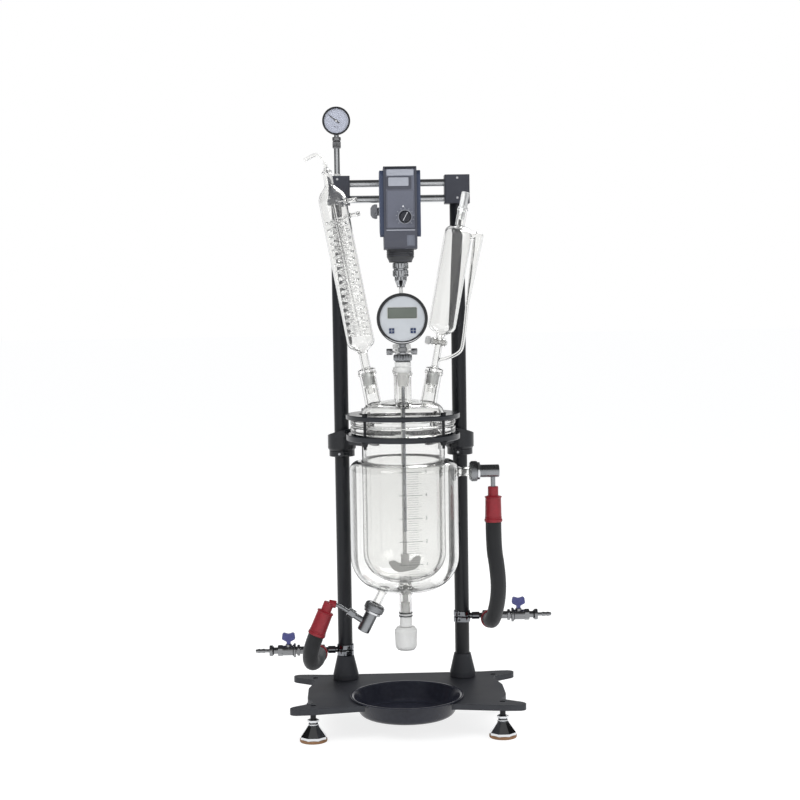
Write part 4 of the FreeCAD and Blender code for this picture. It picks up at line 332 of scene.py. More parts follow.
foot_x = 198
for label, x, y in (("front_left", -foot_x, -105), ("front_right", foot_x, -105),
                    ("back_left", -foot_x, 132), ("back_right", foot_x, 132)):
    spot = at(x, y, 0)
    foot = f"foot_{label}"
    cup = faceted(f"cup_{label}", 8, [
        (28.6, 6), (28.9, 7), (28.6, 11.5), (26.2, 14.5), (14.2, 30), (12.2, 33.5), (11.2, 34)],
        spot, chrome, foot, 0.5)
    turned(f"foot_collar_{label}", [
        (0, 33), (9.5, 33, 1), (10.8, 36.5, 1), (9.5, 40, 1), (7, 40.5, 0.5), (7, 42), (0, 42)],
        spot, chrome, foot)
    faceted(f"foot_nut_{label}", 6, [(11.2, 40.6), (12.4, 41.4), (12.4, 45.2), (11.2, 46)],
            spot, chrome, foot)
    turned(f"foot_stud_{label}", [(0, 44), (6, 44), (6, 73, 0.8), (0, 73)], spot, blackened, foot, sides=48)
    turned(f"foot_boss_{label}", [
        (6.1, 56.5), (8.2, 56.5, 0.8), (8.2, 62), (6.1, 62)], spot, powder_coat, "stand", sides=64)
    turned(f"pad_{label}", [(0, 0), (28.6, 0, 1.2), (29, 5.9, 1.5), (0, 5.9)], spot, felt, foot)
    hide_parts(foot)

# Head blocks and cross rods: machined aluminium blocks in fine black paint, drilled for
# the post and two ground stainless rods, each rod held by a small socket screw. The paint
# is nearly matt, the rods have fine rings from grinding, and the zinc screws shine softly.
block_paint = surface("slate_black_paint", "#33353d", "#3f414a", 0.8, 0.015, (0.45, 0.55), edge=0.9)
dress(block_paint, "left_head_block", "right_head_block")
# The rings that grinding leaves would be too fine to show, so they are drawn coarser
ground_rod = surface("ground_stainless_rod", "#a9abae", "#c6c8ca", 2.2, 0.006, (0.18, 0.28), metallic=1.0,
                     run=(0.05, 1, 1))
dress(ground_rod, "cross_rods")


def socket_screw(name, place, radius, height, material):
    """A small socket screw on the stand: a domed head with a six-sided hole, its axis along Z."""
    shape = bmesh.new()
    sides = 24
    outline = ((radius, 0), (radius, height * 0.6), (radius * 0.86, height), (radius * 0.56, height))
    rings = [[shape.verts.new((r / 1000 * math.cos(math.tau * k / sides),
                               r / 1000 * math.sin(math.tau * k / sides), z / 1000))
              for k in range(sides)] for r, z in outline]
    for depth in (height, height * 0.35):
        rings.append([])
        for k in range(sides):
            angle = math.tau * k / sides
            reach = radius * 0.44 / math.cos((angle % (math.pi / 3)) - math.pi / 6)
            rings[-1].append(shape.verts.new((reach / 1000 * math.cos(angle),
                                              reach / 1000 * math.sin(angle), depth / 1000)))
    skinned(shape, rings)
    screw = mesh_object(name, settle(shape, name, place, 30), material)
    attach(screw, "stand")


post_x = 130
post_y = 122
both_sides = (("left", -1), ("right", 1))
forwards = Matrix.Rotation(math.radians(90), 4, "X")
bright_screw = surface("zinc_plated_screw", "#b9bbbf", "#d3d4d6", 3.0, 0.01, (0.25, 0.4), metallic=1.0)
for side, sign in both_sides:
    for k, z in enumerate((1177, 1134)):
        socket_screw(f"{side}_block_screw_{k}", at(post_x * sign, 98, z) @ forwards, 2.6, 0.9, bright_screw)

# Support clamps and set collars: cast and machined aluminium, anodised black, split and
# pinched on the posts. Their turned upper edge is bright where the coat is thin.
anodised = surface("black_anodised_aluminium", "#17191c", "#23252a", 1.4, 0.01, (0.16, 0.26), metallic=0.2,
                   edge=1.0)
dress(anodised, "support_clamps", "set_collars")
for side, sign in both_sides:
    socket_screw(f"{side}_collar_screw", at(post_x * sign - 6, 94.6, 579.5) @ forwards, 2.6, 1.2,
                 bright_screw)

# Vessel: blown borosilicate glass, an inner vessel in a round-shouldered water jacket with
# a drain neck below and two jacket ports. The walls are clear with a faint grey tint, and
# the litre scale is fired on in grey enamel.


def clear_glass(name, tint, rough=0.0, ior=1.473, solid=1.0):
    """Clear glass that looks greyer where it is seen edge on, with soft waves in its wall from blowing."""
    material = bpy.data.materials.new(name)
    material.use_nodes = True
    tree = material.node_tree
    shader = tree.nodes["Principled BSDF"]
    wave_height = 0.0003
    coords = add_node(tree, "ShaderNodeTexCoord").outputs["Object"]
    mapped = add_node(tree, "ShaderNodeMapping", {"Vector": coords, "Scale": (1, 1, 0.25)}).outputs[0]
    waves = add_node(tree, "ShaderNodeTexNoise", {"Vector": mapped, "Scale": 22.0, "Detail": 1.0}).outputs[0]
    bump = add_node(tree, "ShaderNodeBump", {"Height": waves, "Strength": 1.0, "Distance": wave_height})
    tree.links.new(bump.outputs[0], shader.inputs["Normal"])
    facing_away = add_node(tree, "ShaderNodeLayerWeight", {"Blend": 0.5}).outputs["Facing"]
    thick = add_node(tree, "ShaderNodeMapRange",
                     {"Value": facing_away, "From Min": 0.62, "From Max": 0.98}).outputs[0]
    colour = add_node(tree, "ShaderNodeMix", {0: thick, 6: linear(tint), 7: linear("#a0a4a4")},
                      data_type="RGBA")
    tree.links.new(colour.outputs[2], shader.inputs["Base Color"])
    shader.inputs["Roughness"].default_value = rough
    shader.inputs["IOR"].default_value = ior
    shader.inputs["Alpha"].default_value = solid
    shader.inputs["Transmission Weight"].default_value = 1.0
    return material


def final_mesh(holder):
    """The mesh that an object ends up with once its curve or modifiers are applied; the object is removed."""
    mesh = bpy.data.meshes.new_from_object(holder.evaluated_get(bpy.context.evaluated_depsgraph_get()))
    bpy.data.objects.remove(holder)
    return mesh


def joined(name, base, adds, cuts, material):
    """A piece whose mesh has others melted onto it and others cut from it."""
    piece = mesh_object(name, base)
    tools = []
    for operation, meshes in (("UNION", adds), ("DIFFERENCE", cuts)):
        for mesh in meshes:
            tool = mesh_object(mesh.name, mesh)
            tools.append(tool)
            modifier = piece.modifiers.new(mesh.name, "BOOLEAN")
            modifier.operation = operation
            modifier.solver = "EXACT"
            modifier.object = tool
    result = final_mesh(piece)
    for tool in tools:
        bpy.data.objects.remove(tool)
    result.name = name
    result.shade_smooth()
    result.set_sharp_from_angle(angle=math.radians(38))
    return mesh_object(name, result, material)


def port(name, length, place):
    """A jacket port: a short tube, wider at its root, with a lip at its end."""
    return lathe(name, [(0, 0), (12.5, 0), (9.5, 10, 4), (9.5, length - 8, 2), (13, length - 5, 1),
                        (13, length, 1), (0, length)], place, sides=64)


glass = clear_glass("borosilicate_glass", "#f8f8f7")
vessel_spot = at(0, vessel_y, 652)
vessel_solid = lathe("vessel_solid", [
    (82, 0, 1), (110, 0, 2), (110, -16, 5), (87, -16, 6), (87, -73, 3), (114, -73, 20), (114, -340, 74),
    (14, -352, 8), (14, -396, 1), (9.5, -396, 1), (9.5, -338), (7, -335), (7, -326, 2), (82, -314, 58)],
    vessel_spot, 10, 144)
bath = lathe("bath", [
    (87, -77, 3), (110, -77, 16), (110, -336, 70), (14, -348, 5), (14, -331, 4), (87, -319, 63)],
    vessel_spot, 10, 144)
outlet_place = (111, vessel_y, 553, 90)
inlet_place = (-45, vessel_y, 308, 207)
ports = [port("outlet_port", 45.5, at(*outlet_place)), port("inlet_port", 55, at(*inlet_place))]
outlet_bore = lathe("outlet_bore", [(0, -6), (6, -6), (6, 50), (0, 50)], at(*outlet_place), sides=64)
inlet_bore = lathe("inlet_bore", [(0, 3), (6, 3), (6, 60), (0, 60)], at(*inlet_place), sides=64)
vessel = joined("vessel_glass", vessel_solid, ports, [bath, outlet_bore, inlet_bore], glass)
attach(vessel, "stand")
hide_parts("inner_vessel", "vessel_bottom", "vessel_jacket")
scale_radius = 87.12
number_radius = 87.2


def wrapped_bar(shape, low, high, z, thickness):
    """A thin printed line round the front of the inner vessel, from one X to another, in mm."""
    steps = 8
    rows = []
    for k in range(steps + 1):
        x = low + (high - low) * k / steps
        y = vessel_y - scale_radius * math.cos(math.asin(x / scale_radius))
        rows.append([shape.verts.new(Vector((x, y, z + half)) / 1000)
                     for half in (-thickness / 2, thickness / 2)])
    for left, right_pair in zip(rows, rows[1:]):
        shape.faces.new((left[0], right_pair[0], right_pair[1], left[1]))


def written(name, text, size, place, material):
    """A short printed number on the stand as a thin mesh, centred on its place."""
    curve = bpy.data.curves.new(name, "FONT")
    curve.body = text
    curve.size = size / 1000
    curve.extrude = 0.00005
    curve.align_x = "CENTER"
    curve.align_y = "CENTER"
    holder = bpy.data.objects.new(name + "_curve", curve)
    bpy.context.collection.objects.link(holder)
    mesh = final_mesh(holder)
    mesh.transform(place)
    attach(mesh_object(name, mesh, material), "stand")


# Fired enamel is matt and slightly uneven, so the fine lines look grey through the water jacket
scale_enamel = surface("fired_grey_enamel", "#6e7271", "#8a8e8c", 1.0, 0.01, (0.5, 0.7))
litre_step = 47.8
litres = [(5 - k, 562.4 - litre_step * k) for k in range(5)]
shape = bmesh.new()
for litre, z in litres:
    wrapped_bar(shape, -13, 35, z, 1.0)
    for tenth in range(1, 10):
        low, high, thickness = (-7, 33, 0.6) if tenth == 5 else (5, 27, 0.45)
        wrapped_bar(shape, low, high, z - litre_step / 10 * tenth, thickness)
scale_mesh = bpy.data.meshes.new("litre_scale")
shape.to_mesh(scale_mesh)
shape.free()
scale_marks = mesh_object("litre_scale", scale_mesh, scale_enamel)
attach(scale_marks, "stand")
number_x = 43
for litre, z in litres:
    angle = math.asin(number_x / number_radius)
    on_wall = at(number_x, vessel_y - number_radius * math.cos(angle), z)
    place = on_wall @ Matrix.Rotation(angle, 4, "Z") @ forwards
    written(f"litre_number_{litre}", str(litre), 10, place, scale_enamel)

# Lid: a blown dome with a ground flange and five necks that are fused on. Two of the necks
# lean outwards in the plane of the vessel, to carry the condenser and the dropping funnel.
condenser_axis = (-62.5, vessel_y, 705, -10.4)
funnel_axis = (55.5, vessel_y, 705, 10.8)
lid_spot = at(0, vessel_y, 654)
dome = lathe("dome", [
    (82, 0), (110, 0, 5), (110, 14, 4), (87, 14, 3), (87, 44, 26), (0, 56), (0, 51), (82, 39, 21)],
    lid_spot, 10, 144)
hollow = lathe("hollow", [(0, -1), (82, -1), (82, 39, 21), (0, 51)], lid_spot, 10, 144)
tubes = []
bores = []
for label, spot, tall, low in (
        ("centre", at(0, vessel_y, 692), 74, 0), ("front", at(0, vessel_y - 55, 692), 74, 0),
        ("back", at(0, vessel_y + 55, 692), 74, 0), ("condenser", at(*condenser_axis), 61, -14),
        ("funnel", at(*funnel_axis), 61, -14)):
    tubes.append(lathe(f"{label}_neck", [
        (0, low), (19, low), (17, low + 8, 3), (17, tall - 8, 2), (19.5, tall - 5, 1.5), (19.5, tall, 1.8),
        (0, tall)], spot, sides=64))
    bores.append(lathe(f"{label}_bore", [(0, low - 20), (13, low - 20), (13, tall + 4), (0, tall + 4)], spot,
                       sides=64))
lid = joined("lid_glass", dome, tubes, [hollow] + bores, glass)
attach(lid, "stand")
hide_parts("lid")

# Flange gasket, rings and bolts: a translucent sealing ring, two aluminium rings anodised
# black, and long steel bolts with flared nuts. The silicone is milky and soft-looking, and
# the anodised rings keep a dark metallic sheen.
seal_rubber = surface("clear_silicone", "#dfe0dc", "#ececea", 3.0, 0.02, (0.4, 0.5))
dress(seal_rubber, "flange_gasket")
ring_finish = surface("dark_anodised_ring", "#1c1e22", "#2a2d32", 1.8, 0.008, (0.18, 0.28), metallic=0.25,
                      edge=0.8)
dress(ring_finish, "upper_flange_ring", "lower_flange_ring")
dress(blackened, "flange_bolts")

# Drain valve: turned white fluoroplastic body, plunger and screw knob with a grip ring near
# its foot, sealed by two dark rubber rings. The plastic is waxy and lets a little light in,
# and the rubber is matt.
ptfe = surface("white_fluoroplastic", "#d4d4d2", "#e0e0de", 1.4, 0.02, (0.38, 0.5), edge=0.8,
               Subsurface_Weight=0.15, Subsurface_Radius=(0.002, 0.002, 0.002))
dark_rubber = surface("dark_seal_rubber", "#232427", "#303135", 0.8, 0.02, (0.5, 0.65))
dress(ptfe, "drain_valve_body", "drain_plunger")
dress(dark_rubber, "drain_o_rings")
drain_grip = turned("drain_grip", [
    (0, -49), (17.5, -49, 1.5), (21.4, -44.4, 1.5), (22.6, -40, 0.6), (22.6, -38.8), (22.7, -38), (23.9, -10),
    (24, -9.2), (24, -7, 1), (18.5, -0.2, 1.2), (0, -0.2)],
    at(0, vessel_y, 225.3), ptfe, "drain_knob", 4, 240, (40, 0.45, -38, -10))
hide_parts("drain_knob")

# Water fittings: union nuts, elbows and a bent tube in turned stainless steel. Its grain
# stands for the fine rings that the lathe leaves, and blurs what the metal mirrors.
stainless = surface("turned_stainless_steel", "#7b7d80", "#a0a2a5", 1.1, 0.02, (0.2, 0.34), metallic=1.0,
                    edge=0.5)
dress(stainless, "outlet_elbow", "inlet_elbow")
for label, spot in (("outlet", at(*outlet_place, 27.5)), ("inlet", at(*inlet_place, 37))):
    knurled = turned(f"{label}_union_nut", [
        (10.3, 0), (17.5, 0, 1), (21, 3.6, 0.6), (21.4, 4.4), (21.5, 5), (21.5, 14.6), (21.4, 15.2),
        (20.6, 16.2, 0.4), (14, 16.2)], spot, stainless, "stand", 4, 336, (56, 0.55, 5, 14.6))
    turned(f"{label}_nut_band", [
        (13.7, 16.3), (18.4, 16.3), (19.2, 17.2, 0.5), (19.2, 21.2, 0.8), (18.2, 22, 0.4), (13.7, 22)],
        spot, chrome, "stand")
    if label == "outlet":
        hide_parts("union_nuts")

# Hose ends: moulded red silicone boots and cuffs over the ends of the hoses, with two
# stiffening ridges. Silicone is satin and slightly uneven, so its red looks soft.
red_rubber = surface("red_silicone_rubber", "#7a1822", "#92202b", 5.0, 0.12, (0.36, 0.5), edge=1.0)
dress(red_rubber, "hose_ends")
lean = math.degrees(math.atan2(30, 72.4))
for label, spot in (("right", at(188, vessel_y, 445)), ("left", at(-190, vessel_y, 210.6, lean))):
    for k, low in enumerate((8.2, 51.5)):
        turned(f"{label}_boot_ridge_{k}", [
            (15.6, low), (17.4, low, 0.4), (18.4, low + 1.3, 0.8), (17.4, low + 2.6, 0.4), (15.6, low + 2.6)],
            spot, red_rubber, "stand")

# Hoses: rubber hose in a black closed-foam sleeve, short and stiff. The foam's skin is
# matt, with fine pores and shallow creases round it.
foam = surface("black_closed_foam", "#17181a", "#252628", 2.4, 0.35, (0.8, 0.95), Sheen_Weight=0.25)
foam_radius = 0.0168


def smooth_curve(name, points, resolution):
    """A smooth curve led by control points in mm."""
    curve = bpy.data.curves.new(name, "CURVE")
    curve.dimensions = "3D"
    spline = curve.splines.new("NURBS")
    spline.points.add(len(points) - 1)
    for point, (x, y, z) in zip(spline.points, points):
        point.co = (x / 1000, y / 1000, z / 1000, 1)
    spline.order_u = 3
    spline.use_endpoint_u = True
    spline.resolution_u = resolution
    holder = bpy.data.objects.new(name, curve)
    bpy.context.collection.objects.link(holder)
    return holder


def hose(name, points):
    """A foam-covered hose along smooth control points in mm; the CAD hose it stands for is hidden."""
    piece = smooth_curve(name, points, 12)
    piece.data.bevel_depth = foam_radius
    piece.data.bevel_resolution = 8
    piece.data.use_fill_caps = True
    piece.data.materials.append(foam)
    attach(piece, "stand")
    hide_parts(name.replace("foam", "hose"))


hose("right_foam", [(188, -46, 445), (188, -46, 391), (195, -42, 349), (199.5, -29, 302), (197.5, -4, 258),
                    (189, 34, 211), (189, 80, 211)])
hose("left_foam", [(-190, -46, 210.6), (-203.8, -46, 177.3), (-203, -16, 141), (-189, 31, 141),
                   (-189, 80, 141)])

# Water lines: chromed split clamps and arms on the posts, and brass-bodied ball valves
# plated in dull nickel, with moulded blue handles. The nickel is grey and blurred, the
# chrome of the clamps is smoky and sharp, and the handles have a soft plastic shine.
dull_nickel = surface("dull_nickel_plate", "#7d7e80", "#9fa0a2", 1.0, 0.03, (0.28, 0.44), metallic=1.0,
                      edge=0.5)
blue_plastic = surface("moulded_blue_plastic", "#42457f", "#535690", 2.0, 0.02, (0.3, 0.42), edge=0.8)
dark_chrome = surface("smoky_chrome", "#6d6f73", "#85878b", 12.0, 0.01, (0.06, 0.14), metallic=1.0)
dress(dark_chrome, "line_clamps")
dress(dull_nickel, "left_ball_valve", "right_ball_valve")
dress(blue_plastic, "left_valve_handle", "right_valve_handle")
washers = ((244.9, 10.8, 12.6, 1.8), (289, 7, 9.6, 1.9), (208.6, 7.9, 10.4, 1.8))
for label, sign, z in (("right", 1, 211), ("left", -1, 141)):
    for k, (low, inner, outer, width) in enumerate(washers):
        turned(f"{label}_valve_washer_{k}", [
            (inner, low), (outer, low, 0.4), (outer, low + width, 0.4), (inner, low + width)],
            at(0, post_y, z, 90 * sign), dark_rubber, "stand", 3, 64)
    for k, rise in enumerate((-6.6, 6.6)):
        place = at((post_x - 7) * sign, 105.1, z + rise) @ forwards
        socket_screw(f"{label}_line_screw_{k}", place, 2.4, 1.2, blackened)

# Vacuum gauge: a black pressed case with a silver dial under a flat glass. It stands on
# the left head block on a steel stem with a white foot ring, a knurled socket and a hexagon.
# Its paint and prints are satin, and the glass shows only as a faint shine.
gauge_black = surface("gauge_case_paint", "#151618", "#1f2023", 1.2, 0.015, (0.3, 0.42), edge=0.8)
dial_silver = surface("silver_lacquered_dial", "#aaaebd", "#b4b8c6", 20.0, 0.002, (0.5, 0.6))
dial_grey = surface("printed_dial_grey", "#7e828e", "#8a8e99", 4.0, 0.002, (0.5, 0.6))
dial_black = surface("printed_dial_black", "#1a1a1c", "#222225", 4.0, 0.003, (0.4, 0.5))
pane = surface("flat_gauge_glass", "#f4f5f6", "#fafbfb", 40.0, 0.0005, (0.03, 0.06), Alpha=0.03)
gauge_foot = at(-post_x, post_y, 1184)
facing = at(-post_x, post_y + 12, 1303.6) @ forwards
turned("gauge_stem", [(0, 0), (6.3, 0), (6.3, 62), (5.4, 62), (5.4, 92), (0, 92)],
       gauge_foot, ground_rod, "stand", sides=64)
turned("gauge_foot_ring", [(6.2, 0), (7.6, 0, 0.6), (7.6, 5.6, 0.8), (6.2, 5.6)],
       gauge_foot, ptfe, "stand", sides=64)
turned("gauge_socket", [
    (5, 60.6), (8, 60.6, 0.8), (9, 62.6), (9, 63.4), (9, 74), (9, 74.8), (8, 76.6, 0.8), (5, 76.6)],
    gauge_foot, dull_nickel, "stand", 3, 192, (32, 0.7, 63.4, 74))
faceted("gauge_hexagon", 6, [(8.2, 77), (9.2, 78), (9.2, 84.4), (8.2, 85.4)],
        gauge_foot, dull_nickel, "stand")
gauge_case = turned("gauge_case", [
    (0, 0), (26.5, 0, 3), (29.3, 5, 2), (29.3, 20, 1), (30.5, 20.5, 1), (30.5, 24, 2), (27.4, 24, 0.8),
    (26.4, 21), (26.4, 20), (2, 20), (2, 15), (0, 15)], facing, gauge_black, "stand")
turned("gauge_dial", [(2.2, 20.05), (26.3, 20.05), (26.3, 20.35), (2.2, 20.35)], facing, dial_silver, "stand")
turned("gauge_pane", [(0, 22.6), (26.6, 22.6), (26.6, 23.2, 0.2), (0, 23.2)], facing, pane, "stand")
for side, sign in both_sides:
    turned(f"gauge_pin_{side}", [(0, 0), (1.1, 0), (1.1, 0.5, 0.3), (0, 0.5)],
           facing @ Matrix.Translation((0.0035 * sign, -0.013, 0.0203)), dial_black, "stand", 4, 24)
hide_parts("vacuum_gauge")
dress(dial_black, "gauge_needle")
turned("needle_cap", [(0, 21.9), (2.4, 21.9), (2.4, 22.3, 0.3), (0, 22.5)],
       facing, chrome, "gauge_needle", 4, 40)


def node_tree(name, sizes):
    """A geometry tree with a mesh input, named number inputs, a material input and a mesh output."""
    tree = bpy.data.node_groups.new(name, "GeometryNodeTree")
    tree.interface.new_socket("Geometry", in_out="INPUT", socket_type="NodeSocketGeometry")
    for label, kind, value in sizes:
        socket = tree.interface.new_socket(label, in_out="INPUT", socket_type=kind)
        socket.default_value = value
    tree.interface.new_socket("Material", in_out="INPUT", socket_type="NodeSocketMaterial")
    tree.interface.new_socket("Geometry", in_out="OUTPUT", socket_type="NodeSocketGeometry")
    return tree, add_node(tree, "NodeGroupInput").outputs


def grown(name, tree, place, material, body, **sizes):
    """The plain mesh that a geometry tree grows with these sizes."""
    seed = mesh_object(name + "_seed", bpy.data.meshes.new(name + "_seed"))
    modifier = seed.modifiers.new(name, "NODES")
    modifier.node_group = tree
    for item in tree.interface.items_tree:
        if item.in_out == "INPUT" and item.name in sizes:
            modifier[item.identifier] = sizes[item.name]
        elif item.in_out == "INPUT" and item.name == "Material":
            modifier[item.identifier] = material
    mesh = final_mesh(seed)
    mesh.transform(place)
    mesh.shade_smooth()
    mesh.set_sharp_from_angle(angle=math.radians(35))
    piece = mesh_object(name, mesh, material)
    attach(piece, body)
    return piece


marks, mark_sizes = node_tree("ring_of_marks", (
    ("Count", "NodeSocketInt", 11), ("Radius", "NodeSocketFloat", 0.02), ("Length", "NodeSocketFloat", 0.003),
    ("Width", "NodeSocketFloat", 0.0004), ("Start", "NodeSocketFloat", -math.pi / 4),
    ("Sweep", "NodeSocketFloat", math.pi * 1.5)))
arc = add_node(marks, "GeometryNodeCurveArc", {
    "Resolution": mark_sizes["Count"], "Radius": mark_sizes["Radius"], "Start Angle": mark_sizes["Start"],
    "Sweep Angle": mark_sizes["Sweep"]})
spots = add_node(marks, "GeometryNodeCurveToPoints", {"Curve": arc.outputs[0]}, mode="EVALUATED")
bar_size = add_node(marks, "ShaderNodeCombineXYZ", {
    "X": mark_sizes["Width"], "Y": mark_sizes["Length"], "Z": 0.00012})
bar = add_node(marks, "GeometryNodeMeshCube", {"Size": bar_size.outputs[0]})
spot_place = add_node(marks, "GeometryNodeInputPosition")
outwards = add_node(marks, "FunctionNodeAlignRotationToVector", {"Vector": spot_place.outputs[0]}, axis="Y",
                    pivot_axis="Z")
spread = add_node(marks, "GeometryNodeInstanceOnPoints", {
    "Points": spots.outputs[0], "Instance": bar.outputs[0], "Rotation": outwards.outputs[0]})
real = add_node(marks, "GeometryNodeRealizeInstances", {0: spread.outputs[0]})
printed = add_node(marks, "GeometryNodeSetMaterial", {
    "Geometry": real.outputs[0], "Material": mark_sizes["Material"]})
add_node(marks, "NodeGroupOutput", {0: printed.outputs[0]})
dial_face = facing @ Matrix.Translation((0, 0, 0.0204))
for label, count, radius, length, width in (
        ("fine", 51, 0.0236, 0.0014, 0.00022), ("long", 11, 0.0229, 0.0028, 0.00042)):
    grown(f"gauge_{label}_marks", marks, dial_face, dial_grey, "stand",
          Count=count, Radius=radius, Length=length, Width=width)

# Stirrer: moulded slate-grey housing with dark blue side shells and a printed front film
# under its display, sticker and speed knob. Its bearing nose is a dark ringed sleeve. The
# mouldings have a fine spark-eroded grain, and the film and its prints are smoother.
housing_plastic = surface("slate_grey_abs", "#44464f", "#4d4f59", 1.1, 0.03, (0.42, 0.54), edge=1.5)
cover_plastic = surface("navy_blue_abs", "#39425a", "#465067", 1.1, 0.03, (0.38, 0.5), edge=2.0)
panel_film = surface("printed_front_film", "#5c5f6b", "#666975", 2.0, 0.01, (0.34, 0.44), edge=0.8)
# This light grey is printing, and on the housing's ledge it is also a painted highlight
light_print_and_highlight = surface("light_grey_print_and_highlight", "#999ca5", "#a4a7b0", 6.0, 0.004, (0.34, 0.44))
field_print = surface("dark_grey_print", "#41434c", "#4a4c56", 6.0, 0.004, (0.3, 0.4))
sticker_print = surface("matt_grey_sticker", "#6a6e79", "#747883", 3.0, 0.006, (0.5, 0.6))
white_print = surface("white_dial_print", "#dcdde2", "#e8e9ec", 6.0, 0.003, (0.4, 0.5))
dress(housing_plastic, "stirrer_housing")
dress(cover_plastic, "stirrer_side_covers")
dress(panel_film, "stirrer_panel")
knob_black = surface("black_knob_abs", "#191b23", "#232630", 1.0, 0.02, (0.3, 0.42), edge=0.8)
knob_grey = surface("grey_moulded_knob", "#6f7074", "#808185", 1.0, 0.03, (0.4, 0.52), edge=0.8)
dress(knob_black, "speed_knob")
dress(block_paint, "stirrer_carrier")
film_y = -101
film = at(0, film_y, 0) @ forwards


def plate(name, width, height, low, high, place, material, body, rounding=0.0, bevel=0.3):
    """A small flat plate, centred on its place, between two heights in mm, with softened edges."""
    shape = bmesh.new()
    bmesh.ops.create_cube(shape, size=1)
    for v in shape.verts:
        v.co = Vector((v.co.x * width, v.co.y * height, low if v.co.z < 0 else high)) / 1000
    if rounding:
        posts = [e for e in shape.edges if abs(e.verts[0].co.z - e.verts[1].co.z) > 1e-6]
        bmesh.ops.bevel(shape, geom=posts, offset=rounding / 1000, segments=6, affect="EDGES")
    if bevel:
        top = max(v.co.z for v in shape.verts)
        rim = [e for e in shape.edges if all(v.co.z > top - 1e-6 for v in e.verts)]
        bmesh.ops.bevel(shape, geom=rim, offset=bevel / 1000, segments=2, affect="EDGES")
    piece = mesh_object(name, settle(shape, name, place), material)
    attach(piece, body)


for name, x, z, width, height, low, high, material, rounding in (
        ("top_strip", 0, 1175.2, 55, 12.4, 0, 0.35, light_print_and_highlight, 1.0),
        ("display_field", -3, 1154, 52, 27, 0, 0.3, field_print, 1.5),
        ("display_frame", -3.5, 1156.5, 43.4, 19.4, 0.25, 0.55, housing_plastic, 1.2),
        ("display_pane", -3.5, 1156.5, 41.4, 17.4, 0.5, 0.75, light_print_and_highlight, 0.8),
        ("film_border_top", 0, 1139, 54, 0.7, 0, 0.25, field_print, 0),
        ("film_border_left", -27.4, 1101, 0.7, 75.3, 0, 0.25, field_print, 0),
        ("film_border_right", 27.4, 1101, 0.7, 75.3, 0, 0.25, field_print, 0),
        ("film_border_low", 0, 1063.4, 54, 0.7, 0, 0.25, field_print, 0)):
    plate(name, width, height, low, high, film @ Matrix.Translation((x / 1000, z / 1000, 0)),
          material, "stand", rounding, 0.15)
plate("housing_brow", 62, 4.2, 0, 1.4, at(0, -98, 1185.1) @ forwards, knob_black, "stand", 1.0, 0.6)
# The slim light grey bar on the housing's lower step is a painted highlight of the lit ledge
plate("housing_ledge_highlight", 60, 2.6, 0, 1.2, at(0, -98, 1058.2) @ forwards, light_print_and_highlight, "stand", 0.8, 0.4)
dial_x, dial_z = 9, 1085
speed_dial = at(dial_x, film_y, dial_z) @ forwards
turned("speed_dial_ring", [(13.4, 0), (14.6, 0), (14.6, 0.5, 0.2), (13.4, 0.5)],
       speed_dial, light_print_and_highlight, "stand")
turned("speed_dial_dot", [(0, 0), (1.8, 0), (1.8, 0.35, 0.2), (0, 0.35)],
       at(5.5, film_y, 1106.4) @ forwards, white_print, "stand", 4, 32)
grown("speed_marks", marks, speed_dial @ Matrix.Translation((0, 0, 0.0002)), white_print, "stand", Count=11,
      Radius=0.0178, Length=0.0022, Width=0.0005)
pointer = at(dial_x, film_y - 0.3, dial_z) @ forwards @ Matrix.Rotation(math.radians(-28), 4, "Z")
plate("speed_pointer", 1.2, 20.5, 13.8, 14.25, pointer, white_print, "speed_knob", 0.5, 0.15)
turned("speed_knob_skirt", [
    (12.6, 0.2), (13.2, 0.2), (13.3, 1), (13.3, 3.2), (12.9, 3.6), (12.6, 3.6)],
    pointer, knob_grey, "speed_knob", 3, 240, (40, 0.5, 1, 3.2))
# The sticker follows the slope under the film, and the fold at the slope's top is rounded
slope_top = 1037.6
shape = bmesh.new()
rows = []
for z in (1026, 1028, 1032, slope_top - 2, slope_top - 1, slope_top,
          slope_top + 1, slope_top + 2, 1044, 1048):
    slope = max(0.0, slope_top - z) / 3 + 0.12 * max(0.0, 1 - abs(z - slope_top) / 2)
    rows.append([shape.verts.new(Vector((x, -98.12 + slope, z)) / 1000) for x in (12.4, 28.8)])
for low, high in zip(rows, rows[1:]):
    shape.faces.new((low[0], low[1], high[1], high[0]))
sticker_mesh = bpy.data.meshes.new("housing_sticker")
shape.to_mesh(sticker_mesh)
shape.free()
sticker_mesh.shade_smooth()
sticker = mesh_object("housing_sticker", sticker_mesh, sticker_print)
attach(sticker, "stand")
backing = sticker.modifiers.new("thickness", "SOLIDIFY")
backing.thickness = 0.0003
backing.offset = 1.0
nose_rings = [(20, 1.2), (28.6, 1.2, 0.6)]
for low in (-2.6, -7, -11.4):
    nose_rings += [(28.6, low, 0.4), (27.9, low - 0.5), (27.9, low - 1.1), (28.5, low - 1.6, 0.4)]
nose_rings += [(28.5, -15.2, 4), (24.6, -22.6, 1.5), (23.6, -26.8, 1.2), (20, -26.8)]
nose_dark = surface("dark_bearing_sleeve", "#2e2f31", "#3b3c3f", 1.4, 0.02, (0.34, 0.46), edge=0.6)
turned("bearing_sleeve", nose_rings, at(0, vessel_y, 1019.6), nose_dark, "stand", 5)
carrier_grip = turned("carrier_grip", [
    (0, -18), (4, -18), (4, 0.3), (9, 0.3, 0.6), (9, 16), (15, 16, 1), (16, 17.4), (16, 18.2), (16, 21),
    (15.9, 22), (14, 26.6, 3), (8, 30.8, 5), (0, 31)],
    at(-28, post_y, 1107, -90), knob_grey, "carrier_knob", 4, 240, (20, 1.0, 18.2, 21))
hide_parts("carrier_knob")

